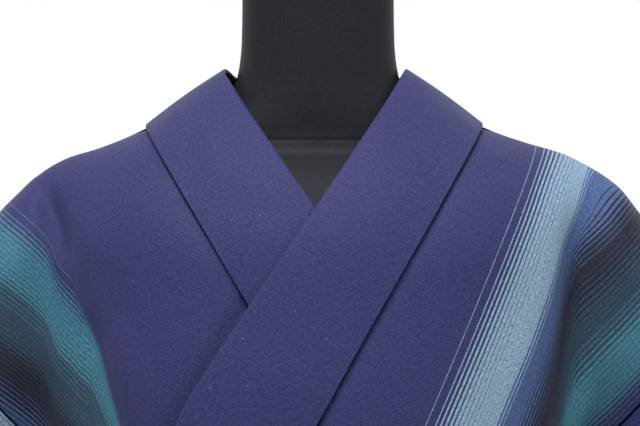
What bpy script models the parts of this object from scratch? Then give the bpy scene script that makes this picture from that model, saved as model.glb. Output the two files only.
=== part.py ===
"""A women's kimono, worn closed on a limbless dress form that stands on a round base.

Metres, +Z up. The front faces -Y and the wearer's left is +X, on the viewer's right.
The origin is the middle of the base's underside.

Every panel is a wall laid out in the flat coordinates of its cut cloth: u is the
distance across the cloth from the centre-back line, and each row is one level
down the panel. A row is placed on the worn shape by front_point or back_point.
"""

import math

import bmesh
import bpy
import numpy as np

# Cloth
CLOTH = 0.0016
COLLAR_CLOTH = 0.0030
COLLAR_PROUD = 0.0014
SEAM_GAP = 0.0003
ROUNDNESS = 2.2

# Cut sizes of the cloth, across the body from the centre-back line
NECK_CUT = 0.088
SLEEVE_SEAM = 0.320
BACK_WIDTH = 0.258
SIDE_SEAM_FRONT = 0.295
OVERLAP_SEAM = 0.055
OVERLAP_EDGE = -0.090
FRONT_CENTRE = 0.083
HALF_ROUND = 0.470
COLLAR_LEAN_CUT = 0.045

# Heights
WAIST_Z = 1.078
RIDGE_Y = 0.008
BACK_NECK_Z = 1.318
SASH_Z = (0.984, 1.076)

# The worn outline: half width, and depth to the front and back, of the under layer
HULL = {
    "z": (0.03, 0.40, 0.76, 0.88, 0.98, 1.06, 1.14, 1.24, 1.30, 1.40),
    "half_width": (0.166, 0.171, 0.177, 0.168, 0.154, 0.154, 0.164, 0.175, 0.182, 0.185),
    "front": (0.126, 0.126, 0.127, 0.123, 0.117, 0.118, 0.125, 0.115, 0.105, 0.100),
    "back": (0.124, 0.127, 0.129, 0.119, 0.103, 0.101, 0.105, 0.102, 0.096, 0.090),
}

# The shoulder line seen from the front: out from the middle, and height
SHOULDER = {
    1: {
        "x": (0.000, 0.030, 0.059, 0.084, 0.109, 0.139, 0.162, 0.176, 0.201, 0.216, 0.2425, 0.269),
        "z": (1.386, 1.385, 1.379, 1.3603, 1.3413, 1.3292, 1.3245, 1.3205, 1.3031, 1.2843, 1.2515, 1.212),
    },
    -1: {
        "x": (0.000, 0.032, 0.062, 0.088, 0.114, 0.146, 0.168, 0.190, 0.201, 0.213, 0.2425, 0.269),
        "z": (1.386, 1.385, 1.379, 1.3603, 1.3413, 1.3262, 1.3195, 1.3085, 1.298, 1.2860, 1.2515, 1.212),
    },
}

# Where a thread at distance u across the cloth crosses the shoulder line, and how
# far its line bows in towards the body on its way down to the waist
GRAIN = {
    "u": (0.000, 0.060, 0.088, 0.131, 0.150, 0.181, 0.205, 0.227, 0.253, 0.285, 0.320),
    "x": (0.014, 0.082, 0.110, 0.147, 0.162, 0.179, 0.197, 0.213, 0.231, 0.250, 0.269),
    "bow": (-0.09, -0.09, -0.09, -0.05, -0.15, -0.45, -0.05, 0.30, 0.45, 0.40, 0.30),
}

# Share of the way from the shoulder line to the waist, one row each
UPPER_ROWS = (0.0, 0.005, 0.02, 0.045, 0.08, 0.125, 0.18, 0.25, 0.33, 0.42, 0.52, 0.63, 0.735, 0.86, 1.0)
FIRST_OVERLAP_ROW = 12
OVERLAP_TIP = 0.76

# Rows from the waist to the hem: height, how far the waist fold stands out, and
# how far the top front stands out over the under one
LOWER_ROWS = {
    "z": (
        1.040, 0.982, 0.960, 0.932, 0.890, 0.8795, 0.876, 0.8795, 0.890, 0.910, 0.9180, 0.9215,
        0.9180, 0.910, 0.860, 0.76, 0.63, 0.49, 0.34, 0.19, 0.035,
    ),
    "fold": (
        0.0, 0.0, 0.0040, 0.0070, 0.0070, 0.0064, 0.00525, 0.0041, 0.0035, 0.0035, 0.0029, 0.00175,
        0.0006, 0.0, 0.0, 0.0, 0.0, 0.0, 0.0, 0.0, 0.0,
    ),
    "over": (
        0.0062, 0.0062, 0.0100, 0.0135, 0.0135, 0.0135, 0.0135, 0.0135, 0.0135, 0.0135, 0.0135, 0.0135,
        0.0135, 0.0135, 0.0115, 0.0095, 0.0085, 0.0075, 0.0065, 0.0060, 0.0055,
    ),
}
COLLAR_END_ROW = 6
FOLD_SET_BACK = 0.012
CHEST_OVER = 0.0062

# Share of the way across a body panel, at the shoulder and at the hem
COLUMNS_TOP = (0.0, 0.125, 0.245, 0.35, 0.44, 0.52, 0.60, 0.68, 0.76, 0.84, 0.92, 1.0)
COLUMNS_LOW = (0.0, 0.09, 0.18, 0.27, 0.36, 0.45, 0.54, 0.63, 0.725, 0.82, 0.91, 1.0)

# The back neckline: the inner edge of the back reaches the centre in these steps
BACK_NECK_STEPS = (0.088, 0.066, 0.044, 0.022, 0.0)

# The collar band, as worn
COLLAR_WIDTH = {"row": (0, 3, 6.5, 10, 13, 21), "width": (0.063, 0.0625, 0.0650, 0.0712, 0.0780, 0.080)}
COLLAR_BACK_TOP = {"half_width": 0.0605, "depth": 0.088, "z_side": 1.379, "z_back": 1.368}
COLLAR_LEAN = {"chest": 30.0, "waist": 15.5}
COLLAR_ACROSS = (0.0, 0.2, 0.4, 0.6, 0.8, 1.0)
COLLAR_BACK_GAP = 0.0018
COLLAR_CROWN = 0.0010

# Sleeves, seen from the front on the wearer's left
SLEEVE_ATTACHED_ROWS = 11
CUFF_TOP = (0.445, 0.004, 0.938)
CUFF_BOTTOM = (0.398, 0.010, 0.452)
INNER_BOTTOM = (0.212, 0.006, 0.742)
INNER_FREE = {
    "x": (0.1905, 0.1880, 0.1905, 0.1950, 0.2020, 0.2080, 0.2115),
    "z": (1.1150, 1.0850, 1.0500, 0.9900, 0.9100, 0.8200, 0.7550),
    "half": (0.026, 0.024, 0.022, 0.022, 0.022, 0.018, 0.0045),
}
SLEEVE_ALONG = (0.0, 0.10, 0.22, 0.34, 0.46, 0.58, 0.70, 0.82, 0.92, 1.0)
SLEEVE_SWELL = 0.016
CUFF_OPENING = 0.47
CUFF_OPEN_HALF = 0.017
CLOSED_HALF = 0.0022
SLEEVE_FOLDS = {"at": (0.20, 0.50, 0.78), "lean": (0.10, 0.05, -0.04), "depth": (0.015, -0.018, 0.014)}
FOLD_WIDTH = 0.12

# Sash
SASH_THICK = 0.0022
SASH_CLEAR = 0.0016
SASH_STATIONS = 64

# Dress form and stand
FORM = {
    "z": (
        0.700, 0.715, 0.80, 0.90, 1.00, 1.08, 1.14, 1.20, 1.25, 1.290, 1.3072, 1.3179, 1.3251,
        1.3309, 1.3406, 1.3497, 1.361, 1.376, 1.400, 1.430, 1.466,
    ),
    "half_width": (
        0.140, 0.148, 0.156, 0.146, 0.136, 0.139, 0.150, 0.160, 0.165, 0.164, 0.160, 0.152, 0.140,
        0.119, 0.097, 0.077, 0.0620, 0.0540, 0.0512, 0.0508, 0.0515,
    ),
    "front": (
        0.090, 0.097, 0.106, 0.102, 0.099, 0.105, 0.113, 0.105, 0.094, 0.078, 0.0670, 0.0570, 0.0500,
        0.0480, 0.0470, 0.0470, 0.0470, 0.0465, 0.0465, 0.0460, 0.0465,
    ),
    "back": (
        0.098, 0.105, 0.118, 0.106, 0.092, 0.088, 0.091, 0.089, 0.083, 0.072, 0.0640, 0.0550, 0.0500,
        0.0490, 0.0490, 0.0500, 0.0510, 0.0520, 0.0520, 0.0520, 0.0525,
    ),
}
FORM_SIDES = 32
NECK_Y = 0.004
CAP_HEIGHT = 0.012
CAP_ROUND = 0.003
POLE_RADIUS = 0.0125
POLE_SIDES = 24
FLANGE_RADIUS = 0.045
FLANGE_HEIGHT = 0.010
BASE_RADIUS = 0.150
BASE_THICK = 0.012
BASE_SIDES = 64
COLLAR_RING_RADIUS = 0.024
COLLAR_RING_HEIGHT = 0.030


def clear_scene():
    for item in list(bpy.data.objects):
        bpy.data.objects.remove(item, do_unlink=True)


def make_material(name, colour, roughness, metallic=0.0):
    material = bpy.data.materials.new(name)
    material.use_nodes = True
    shader = material.node_tree.nodes["Principled BSDF"]
    shader.inputs["Base Color"].default_value = (*colour, 1.0)
    shader.inputs["Roughness"].default_value = roughness
    shader.inputs["Metallic"].default_value = metallic
    material.diffuse_color = (*colour, 1.0)
    return material


def ease(value):
    """0 below 0, 1 above 1, and a smooth step between."""
    share = min(1.0, max(0.0, value))
    return share * share * (3.0 - 2.0 * share)


def read_table(table, key, column, at):
    """A smooth curve through a table's points, with no overshoot between them."""
    xs = np.asarray(table[key], float)
    ys = np.asarray(table[column], float)
    at = min(max(at, xs[0]), xs[-1])
    i = int(min(np.searchsorted(xs, at, side="right") - 1, len(xs) - 2))
    steps = np.diff(xs)
    slopes = np.diff(ys) / steps
    tangents = []
    for k in (i, i + 1):
        before = slopes[max(k - 1, 0)]
        after = slopes[min(k, len(slopes) - 1)]
        level = before * after <= 0.0
        tangents.append(0.0 if level else 2.0 * before * after / (before + after))
    t = (at - xs[i]) / steps[i]
    start = (1 + 2 * t) * (1 - t) ** 2 * ys[i] + t * (1 - t) ** 2 * steps[i] * tangents[0]
    end = t * t * (3 - 2 * t) * ys[i + 1] + t * t * (t - 1) * steps[i] * tangents[1]
    return start + end


def rounded(share):
    """Depth of a rounded section at a share of its half width."""
    return max(0.0, 1.0 - min(1.0, abs(share)) ** ROUNDNESS) ** (1.0 / ROUNDNESS)


def falloff(share):
    """A rounded section that runs on straight past its shoulder, so a trough stays soft."""
    corner = 0.86
    if share <= corner:
        return rounded(share)
    base = 1.0 - corner ** ROUNDNESS
    slope = corner ** (ROUNDNESS - 1.0) * base ** (1.0 / ROUNDNESS - 1.0)
    return max(0.0, base ** (1.0 / ROUNDNESS) - slope * (share - corner))


RINGS = {}


def ring(z):
    """Angles round the hull at height z, with the cloth's length up to each."""
    key = round(z, 5)
    if key not in RINGS:
        half = read_table(HULL, "z", "half_width", z)
        depths = {face: read_table(HULL, "z", face, z) for face in ("front", "back")}
        angles = np.linspace(0.0, math.pi, 361)
        xs, ys = [], []
        for angle in angles:
            sine, cosine = math.sin(angle), math.cos(angle)
            depth = depths["front"] if cosine >= 0 else depths["back"]
            xs.append(half * abs(sine) ** (2.0 / ROUNDNESS))
            ys.append(-math.copysign(depth * abs(cosine) ** (2.0 / ROUNDNESS), cosine))
        length = np.concatenate([[0.0], np.cumsum(np.hypot(np.diff(xs), np.diff(ys)))])
        RINGS[key] = (angles, length * HALF_ROUND / length[-1], half, depths)
    return RINGS[key]


def ring_point(cloth, z, out=0.0):
    """The hull's point at a length of cloth from the front centre, plus towards +X."""
    angles, lengths, half, depths = ring(z)
    angle = float(np.interp(abs(cloth), lengths, angles))
    sine, cosine = math.sin(angle), math.cos(angle)
    depth = depths["front"] if cosine >= 0 else depths["back"]
    x = (half + out) * abs(sine) ** (2.0 / ROUNDNESS)
    y = -math.copysign((depth + out) * abs(cosine) ** (2.0 / ROUNDNESS), cosine)
    return np.array((math.copysign(x, cloth), y, z))


def depth_at(side, x, z, face, out=0.0):
    """How far the worn cloth stands in front of, or behind, the shoulder line."""
    half = read_table(HULL, "z", "half_width", z) + out
    full = read_table(HULL, "z", face, z) + out
    ridge = read_table(SHOULDER[side], "x", "z", x)
    near_neck = 1.0 - ease((x - 0.06) / 0.06)
    drop = min(1.0, max(0.0, (ridge - z) / (0.085 + 0.045 * near_neck)))
    turn = (drop * (2.0 - drop)) ** (0.5 + 0.1 * near_neck)
    torso = full * falloff(x / half) * turn
    wing_drop = min(1.0, max(0.0, (ridge - z) / 0.055))
    wing_fade = ease((z - WAIST_Z) / 0.12)
    wing = (0.034 + 0.010 * ease((x - 0.165) / 0.045)) * wing_fade
    wing *= math.sqrt(wing_drop * (2.0 - wing_drop))
    blend = 0.012 * wing_fade * wing_drop
    gap = torso - wing
    return 0.5 * (torso + wing + math.sqrt(gap * gap + blend * blend)) if wing > 0 else torso


def over_share(u):
    """How much of the top front's extra depth applies: none at its side seam."""
    return 1.0 - ease((u - 0.264) / 0.031)


def upper_point(side, u, share, face):
    """A point on a body panel between the shoulder line and the waist."""
    start_x = read_table(GRAIN, "u", "x", u)
    start_x += (SHOULDER[side]["x"][4] - SHOULDER[1]["x"][4]) * ease(1.0 - abs(u - NECK_CUT) / 0.12)
    start_z = read_table(SHOULDER[side], "x", "z", start_x)
    bow = read_table(GRAIN, "u", "bow", u)
    if face == "back" and u < NECK_CUT:
        start_x = SHOULDER[side]["x"][4] * u / NECK_CUT
        rise = read_table(SHOULDER[side], "x", "z", SHOULDER[side]["x"][4]) - BACK_NECK_Z
        start_z = BACK_NECK_Z + rise * (u / NECK_CUT) ** 2.2
        bow = 0.0
    over = CHEST_OVER * over_share(u) if side == 1 and face == "front" else 0.0
    cloth = u - FRONT_CENTRE if face == "front" else HALF_ROUND - u
    waist = ring_point(cloth, WAIST_Z, over)
    way = share + bow * share * (1.0 - share)
    x = start_x + (waist[0] - start_x) * way
    z = start_z + (WAIST_Z - start_z) * share
    out = over * ease((1.345 - z) / 0.06)
    depth = depth_at(side, abs(x), z, face, out)
    y = RIDGE_Y * (1.0 - share) + (-depth if face == "front" else depth)
    wrap_from = 0.90 - 0.45 * ease((u - 0.19) / 0.07)
    wrap = ease((share - wrap_from) / (1.0 - wrap_from))
    y += (ring_point(cloth, z, out)[1] - y) * wrap
    return np.array((x * side, y, z))


def lower_point(side, u, row, face, fold_share=1.0):
    """A point on a body or overlap panel from the waist down."""
    z, fold, over = (LOWER_ROWS[key][row] for key in ("z", "fold", "over"))
    out = fold * fold_share
    if side == 1 and face == "front":
        out += over * over_share(u)
    cloth = u - FRONT_CENTRE if face == "front" else HALF_ROUND - u
    point = ring_point(cloth, z, out)
    return point * np.array((side, 1.0, 1.0))


def panel_point(side, u, row, face, share=None):
    """A point on row number row, counted down from the shoulder line."""
    if row < len(UPPER_ROWS):
        return upper_point(side, u, UPPER_ROWS[row] if share is None else share, face)
    return lower_point(side, u, row - len(UPPER_ROWS), face)


ROW_COUNT = len(UPPER_ROWS) + len(LOWER_ROWS["z"])


def collar_seam(row):
    """Where the collar's seam crosses a row, across the cloth."""
    if row < len(UPPER_ROWS):
        return NECK_CUT - COLLAR_LEAN_CUT * UPPER_ROWS[row]
    z = LOWER_ROWS["z"][row - len(UPPER_ROWS)]
    return NECK_CUT - COLLAR_LEAN_CUT - math.tan(math.radians(COLLAR_LEAN["waist"])) * (WAIST_Z - z)


def front_edges(row):
    """The inner and outer edge of a front body panel at a row."""
    if row < len(UPPER_ROWS):
        share = UPPER_ROWS[row]
        outer = SLEEVE_SEAM + (SIDE_SEAM_FRONT - SLEEVE_SEAM) * ease((share - 0.45) / 0.55)
        return max(collar_seam(row), OVERLAP_SEAM) + SEAM_GAP / 2, outer - SEAM_GAP / 2
    return OVERLAP_SEAM + SEAM_GAP / 2, SIDE_SEAM_FRONT - SEAM_GAP / 2


def back_edges(row):
    """The inner and outer edge of a back body panel at a row."""
    if row < len(UPPER_ROWS):
        share = UPPER_ROWS[row]
        outer = SLEEVE_SEAM + (BACK_WIDTH - SLEEVE_SEAM) * ease((share - 0.30) / 0.70)
        return BACK_NECK_STEPS[min(row, 4)] + SEAM_GAP / 2, outer - SEAM_GAP / 2
    return SEAM_GAP / 2, BACK_WIDTH - SEAM_GAP / 2


def columns_at(row):
    """Shares across a panel, from their spacing at the shoulder to even ones."""
    change = ease((row - 8) / 10.0)
    return [top + (low - top) * change for top, low in zip(COLUMNS_TOP, COLUMNS_LOW)]


def with_border(shares):
    """The shares with one more at each end, which only give the end's direction."""
    return [shares[0] - 0.04, *shares, shares[-1] + 0.04]


def front_row(side, row):
    inner, outer = front_edges(row)
    return [
        panel_point(side, inner + (outer - inner) * share, row, "front")
        for share in with_border(columns_at(row))
    ]


def back_row(side, row):
    """A row of the back, whose inner end runs along the neckline before it goes down."""
    inner, outer = back_edges(row)
    points = []
    for share in with_border(columns_at(row)):
        u = inner + (outer - inner) * share
        level = None
        if row < len(UPPER_ROWS):
            down = UPPER_ROWS[row]
            at_neck = 0.0
            if row > 4:
                at_neck = (down - UPPER_ROWS[4]) / (1.0 - UPPER_ROWS[4])
            level = at_neck + (down - at_neck) * ease(share / 0.4)
        mirrored = panel_point(side, abs(u), row, "back", level)
        if u < 0:
            mirrored = mirrored * np.array((-1.0, 1.0, 1.0))
        points.append(mirrored)
    return points


def unit(vectors):
    return vectors / np.maximum(np.linalg.norm(vectors, axis=-1, keepdims=True), 1e-12)


def wall(name, points, thickness, material, centre, around=False, proud=None):
    """A closed wall of cloth from a grid of outer points that has a border all round.

    The border gives the direction at the edges and isn't built. Thickness goes in
    towards centre. With around, the columns run round a tube, and have no border.
    """
    grid = np.asarray(points, float)
    if around:
        grid = np.concatenate([grid[:, -1:], grid, grid[:, :1]], axis=1)
    down = grid[2:, 1:-1] - grid[:-2, 1:-1]
    across = grid[1:-1, 2:] - grid[1:-1, :-2]
    outer = grid[1:-1, 1:-1]
    normals = unit(np.cross(down, across))
    if (normals * (outer - centre)).sum() < 0:
        normals = -normals
    if proud is not None:
        outer = outer + normals * np.asarray(proud)[None, :, None]
    inner = outer - normals * thickness
    rows, columns = outer.shape[:2]

    mesh = bmesh.new()
    sheets = [
        [[mesh.verts.new(point) for point in row] for row in sheet] for sheet in (outer, inner)
    ]
    last = columns if around else columns - 1
    for sheet in sheets:
        for i in range(rows - 1):
            for j in range(last):
                k = (j + 1) % columns
                mesh.faces.new((sheet[i][j], sheet[i][k], sheet[i + 1][k], sheet[i + 1][j]))
    for i in (0, rows - 1):
        for j in range(last):
            k = (j + 1) % columns
            mesh.faces.new((sheets[0][i][j], sheets[0][i][k], sheets[1][i][k], sheets[1][i][j]))
    if not around:
        for j in (0, columns - 1):
            for i in range(rows - 1):
                mesh.faces.new(
                    (sheets[0][i][j], sheets[0][i + 1][j], sheets[1][i + 1][j], sheets[1][i][j])
                )
    bmesh.ops.triangulate(mesh, faces=mesh.faces[:])
    bmesh.ops.recalc_face_normals(mesh, faces=mesh.faces[:])
    return finish_object(name, mesh, material)


def finish_object(name, mesh, material, smooth_angle=40.0):
    data = bpy.data.meshes.new(name)
    mesh.to_mesh(data)
    mesh.free()
    data.materials.append(material)
    data.shade_smooth()
    data.set_sharp_from_angle(angle=math.radians(smooth_angle))
    item = bpy.data.objects.new(name, data)
    bpy.context.scene.collection.objects.link(item)
    return item


TORSO_CENTRE = np.array((0.0, 0.0, 0.9))


def body_panel(name, side, material):
    """One body panel: a single length of cloth, up the front and down the back."""
    last = ROW_COUNT - 1
    rows = [front_row(side, row) for row in range(last, -1, -1)]
    rows += [back_row(side, row) for row in range(1, ROW_COUNT)]
    first = [2 * a - b for a, b in zip(rows[0], rows[1])]
    final = [2 * a - b for a, b in zip(rows[-1], rows[-2])]
    return wall(name, [first, *rows, final], CLOTH, material, TORSO_CENTRE)


def overlap_edge(row):
    """The free edge of an overlap panel, or the collar's seam above the waist fold."""
    if row < len(UPPER_ROWS) + COLLAR_END_ROW + 1:
        return collar_seam(row)
    start = collar_seam(len(UPPER_ROWS) + COLLAR_END_ROW) + FOLD_SET_BACK
    turned = ease((row - len(UPPER_ROWS) - COLLAR_END_ROW - 3) / 3.0)
    return start + (OVERLAP_EDGE - start) * turned


def overlap_panel(name, side, material):
    """The narrow panel sewn to a front's edge, from its point to the hem."""
    shares = (0.0, 0.14, 0.28, 0.42, 0.56, 0.70, 0.85, 1.0)
    rows = []
    for row in range(FIRST_OVERLAP_ROW, ROW_COUNT):
        inner = overlap_edge(row) + SEAM_GAP * 2
        outer = OVERLAP_SEAM - SEAM_GAP
        share = None
        if row == FIRST_OVERLAP_ROW:
            share = OVERLAP_TIP
            inner = NECK_CUT - COLLAR_LEAN_CUT * share + 0.0004
        step = max(outer - inner, 0.02) * 0.1
        us = [inner - step, *(inner + (outer - inner) * share for share in shares), outer + step]
        rows.append([panel_point(side, u, row, "front", share) for u in us])
    first = [2 * a - b for a, b in zip(rows[0], rows[1])]
    final = [2 * a - b for a, b in zip(rows[-1], rows[-2])]
    return wall(name, [first, *rows, final], CLOTH, material, TORSO_CENTRE)


def collar_front_station(side, row):
    """Points across the collar from its seam to its inner edge, on a front row."""
    width = float(np.interp(row, COLLAR_WIDTH["row"], COLLAR_WIDTH["width"]))
    u = collar_seam(row) - SEAM_GAP / 2
    seam = panel_point(side, u, row, "front")
    fade = ease((WAIST_Z + 0.05 - seam[2]) / 0.05)
    points = []
    for share in (-0.04, *COLLAR_ACROSS, 1.04):
        reach = width * share
        chest = math.radians(COLLAR_LEAN["chest"])
        x = side * seam[0] - reach * math.cos(chest)
        z = seam[2] + reach * math.sin(chest)
        rise = 1.0 if row else 0.0
        if row < 4:
            climb = math.radians(37.0 + (30.0 - 37.0) * row / 4.0)
            x = side * seam[0] - reach * math.cos(climb)
            z = seam[2] + reach * math.sin(climb)
        over = CHEST_OVER if side == 1 else 0.0
        out = over * ease((1.345 - z) / 0.06)
        depth = depth_at(side, abs(x), z, "front", out) * rise
        settle = 1.0 - UPPER_ROWS[row] if row < len(UPPER_ROWS) else 0.0
        high = np.array((x * side, RIDGE_Y * settle - depth, z))
        if fade > 0.0:
            level = ease((seam[2] - LOWER_ROWS["z"][COLLAR_END_ROW]) / 0.05)
            waist = math.radians(COLLAR_LEAN["waist"]) * level
            low_z = seam[2] + reach * math.sin(waist)
            lower = LOWER_ROWS["z"][0:COLLAR_END_ROW + 1]
            zs = (WAIST_Z, *lower)
            folds = (0.0, *LOWER_ROWS["fold"][0:COLLAR_END_ROW + 1])
            overs = (CHEST_OVER, *LOWER_ROWS["over"][0:COLLAR_END_ROW + 1])
            out = float(np.interp(-low_z, [-v for v in zs], folds))
            if side == 1:
                out += float(np.interp(-low_z, [-v for v in zs], overs))
            cloth = u - FRONT_CENTRE - reach * math.cos(waist)
            low = ring_point(cloth, low_z, out) * np.array((side, 1.0, 1.0))
            high = high + (low - high) * fade
        points.append(high)
    return points


def collar_back_station(side, step):
    """Points across the collar from the back neckline to its standing edge."""
    u = BACK_NECK_STEPS[step]
    top = COLLAR_BACK_TOP
    turn = math.pi / 2 * (1.0 - u / NECK_CUT)
    inner_x = (SHOULDER[side]["x"][2] if step < 1 else top["half_width"]) * math.cos(turn)
    edge = np.array((
        inner_x * side,
        RIDGE_Y + (top["depth"] - RIDGE_Y) * math.sin(turn),
        top["z_side"] + (top["z_back"] - top["z_side"]) * math.sin(turn),
    ))
    seam = upper_point(side, u, 0.0, "back" if step else "front")
    lean = unit(edge - seam)
    seam = seam + lean * COLLAR_BACK_GAP
    return [seam + (edge - seam) * share for share in (-0.04, *COLLAR_ACROSS, 1.04)]


def collar(name, material):
    """The collar band, in one piece from the under front round the neck to the top front."""
    last = len(UPPER_ROWS) + COLLAR_END_ROW
    stations = [collar_front_station(-1, row) for row in range(last, 0, -1)]
    stations += [collar_back_station(-1, step) for step in range(5)]
    stations += [collar_back_station(1, step) for step in range(3, -1, -1)]
    stations += [collar_front_station(1, row) for row in range(1, last + 1)]
    first = [2 * a - b for a, b in zip(stations[0], stations[1])]
    final = [2 * a - b for a, b in zip(stations[-1], stations[-2])]
    shares = np.asarray(COLLAR_ACROSS)
    proud = COLLAR_PROUD + COLLAR_CROWN * np.sin(math.pi * shares)
    centre = np.array((0.0, 0.0, 1.0))
    return wall(name, [first, *stations, final], COLLAR_CLOTH, material, centre, proud=proud)


def sleeve_edge(side, face):
    """The sleeve's inner edge on one face: sewn to the body, then hanging free."""
    edges = front_edges if face == "front" else back_edges
    points = []
    for row in range(SLEEVE_ATTACHED_ROWS):
        outer = edges(row)[1]
        at = panel_point(side, outer, row, face)
        beside = panel_point(side, outer - 0.004, row, face)
        gap = SEAM_GAP * (1.2 if row < 8 else 2.5)
        points.append(at + unit(at - beside) * gap)
    sign = -1.0 if face == "front" else 1.0
    for x, z, half in zip(INNER_FREE["x"], INNER_FREE["z"], INNER_FREE["half"]):
        points.append(np.array((x * side, INNER_BOTTOM[1] + sign * half, z)))
    return points


def sleeve(name, side, material):
    """A hanging sleeve bag: open towards the body and at the hand, folded at the foot."""
    flip = np.array((side, 1.0, 1.0))
    cuff_top, cuff_low, inner_low = (
        np.array(corner) * flip for corner in (CUFF_TOP, CUFF_BOTTOM, INNER_BOTTOM)
    )
    faces = {}
    for face in ("front", "back"):
        sign = -1.0 if face == "front" else 1.0
        inner = np.array([*sleeve_edge(side, face), inner_low])
        steps = np.linalg.norm(np.diff(inner, axis=0), axis=1)
        depth = np.concatenate([[0.0], np.cumsum(steps)])
        depth /= depth[-1]
        grid = []
        for along in (-0.03, *SLEEVE_ALONG, 1.03):
            line = []
            for d, start in zip(depth, inner):
                top = inner[0] + (cuff_top - inner[0]) * along
                top[2] += 0.014 * math.sin(math.pi * min(max(along, 0.0), 1.0))
                foot = inner_low + (cuff_low - inner_low) * along
                foot[2] -= 0.012 * math.sin(math.pi * min(max(along, 0.0), 1.0))
                end = cuff_top + (cuff_low - cuff_top) * d
                point = (1 - d) * top + d * foot + (1 - along) * start + along * end
                point -= (1 - along) * ((1 - d) * inner[0] + d * inner_low)
                point -= along * ((1 - d) * cuff_top + d * cuff_low)
                inside = math.sin(math.pi * min(1.0, d)) ** 0.6
                swell = SLEEVE_SWELL * inside * math.sin(math.pi * min(max(along, 0.0), 1.0))
                opening = CUFF_OPEN_HALF * math.sin(math.pi * min(1.0, d / CUFF_OPENING)) ** 0.7
                closed = CLOSED_HALF * ease(min(d, 1.0 - d) / 0.012)
                cuff = max(opening if d < CUFF_OPENING else 0.0, closed)
                held = ease((along - 0.15) / 0.85)
                point[1] += sign * (swell + cuff * held)
                loose = ease(along / 0.25) * ease(d / 0.25)
                for at, lean, deep in zip(*(SLEEVE_FOLDS[key] for key in ("at", "lean", "depth"))):
                    away = (along - at - lean * (d - 0.5)) / FOLD_WIDTH
                    point[1] += deep * loose * math.exp(-away * away)
                line.append(point)
            grid.append(line)
        faces[face] = grid
    rings = [front + back[-2:0:-1] for front, back in zip(faces["front"], faces["back"])]
    centre = np.array(rings)[1:-1].mean(axis=1, keepdims=True)
    return wall(name, rings, CLOTH, material, centre, around=True)


def sash(name, material):
    """The sash round the waist, over the fronts' extra layers."""
    low, high = SASH_Z
    levels = (low, low + 0.03, high - 0.03, high)
    stations = np.linspace(-HALF_ROUND, HALF_ROUND, SASH_STATIONS, endpoint=False)
    rings = []
    for z in (low - 0.01, *levels, high + 0.01):
        line = []
        for cloth in stations:
            front = ease((0.218 - cloth) / 0.034) * ease((cloth + 0.225) / 0.050)
            collar_in_front = CHEST_OVER + COLLAR_PROUD + COLLAR_CROWN + SEAM_GAP * 2
            out = SASH_CLEAR + SASH_THICK + collar_in_front * front
            hull_z = min(max(z, 0.988), WAIST_Z)
            point = ring_point(cloth, hull_z, out)
            point[2] = z
            line.append(point)
        rings.append(line)
    return wall(name, rings, SASH_THICK, material, np.array((0.0, 0.0, 1.03)), around=True)


def ring_loft(name, sections, sides, material, smooth_angle=40.0):
    """A closed body through oval sections: height, half width, front, back, middle."""
    mesh = bmesh.new()
    loops = []
    for z, half, front, back, middle in sections:
        loop = []
        for k in range(sides):
            angle = 2.0 * math.pi * k / sides
            sine, cosine = math.sin(angle), math.cos(angle)
            depth = front if cosine >= 0 else back
            x = math.copysign(half * abs(sine) ** (2.0 / ROUNDNESS), sine)
            y = -math.copysign(depth * abs(cosine) ** (2.0 / ROUNDNESS), cosine)
            loop.append(mesh.verts.new((x, y + middle, z)))
        loops.append(loop)
    for below, above in zip(loops, loops[1:]):
        for k in range(sides):
            n = (k + 1) % sides
            mesh.faces.new((below[k], below[n], above[n], above[k]))
    mesh.faces.new(loops[0][::-1])
    mesh.faces.new(loops[-1])
    bmesh.ops.triangulate(mesh, faces=mesh.faces[:])
    bmesh.ops.recalc_face_normals(mesh, faces=mesh.faces[:])
    return finish_object(name, mesh, material, smooth_angle)


def form_sections():
    rows = []
    for z, half, front, back in zip(FORM["z"], FORM["half_width"], FORM["front"], FORM["back"]):
        rows.append((z, half, front, back, NECK_Y * ease((z - 1.20) / 0.15)))
    return rows


def turned(name, profile, sides, material):
    """A solid turned about the Z axis from (radius, height) pairs, bottom to top."""
    mesh = bmesh.new()
    loops = []
    for radius, z in profile:
        loop = []
        for k in range(sides):
            angle = 2.0 * math.pi * k / sides
            loop.append(mesh.verts.new((radius * math.cos(angle), radius * math.sin(angle), z)))
        loops.append(loop)
    for below, above in zip(loops, loops[1:]):
        for k in range(sides):
            n = (k + 1) % sides
            mesh.faces.new((below[k], below[n], above[n], above[k]))
    mesh.faces.new(loops[0][::-1])
    mesh.faces.new(loops[-1])
    bmesh.ops.recalc_face_normals(mesh, faces=mesh.faces[:])
    return finish_object(name, mesh, material)


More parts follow.
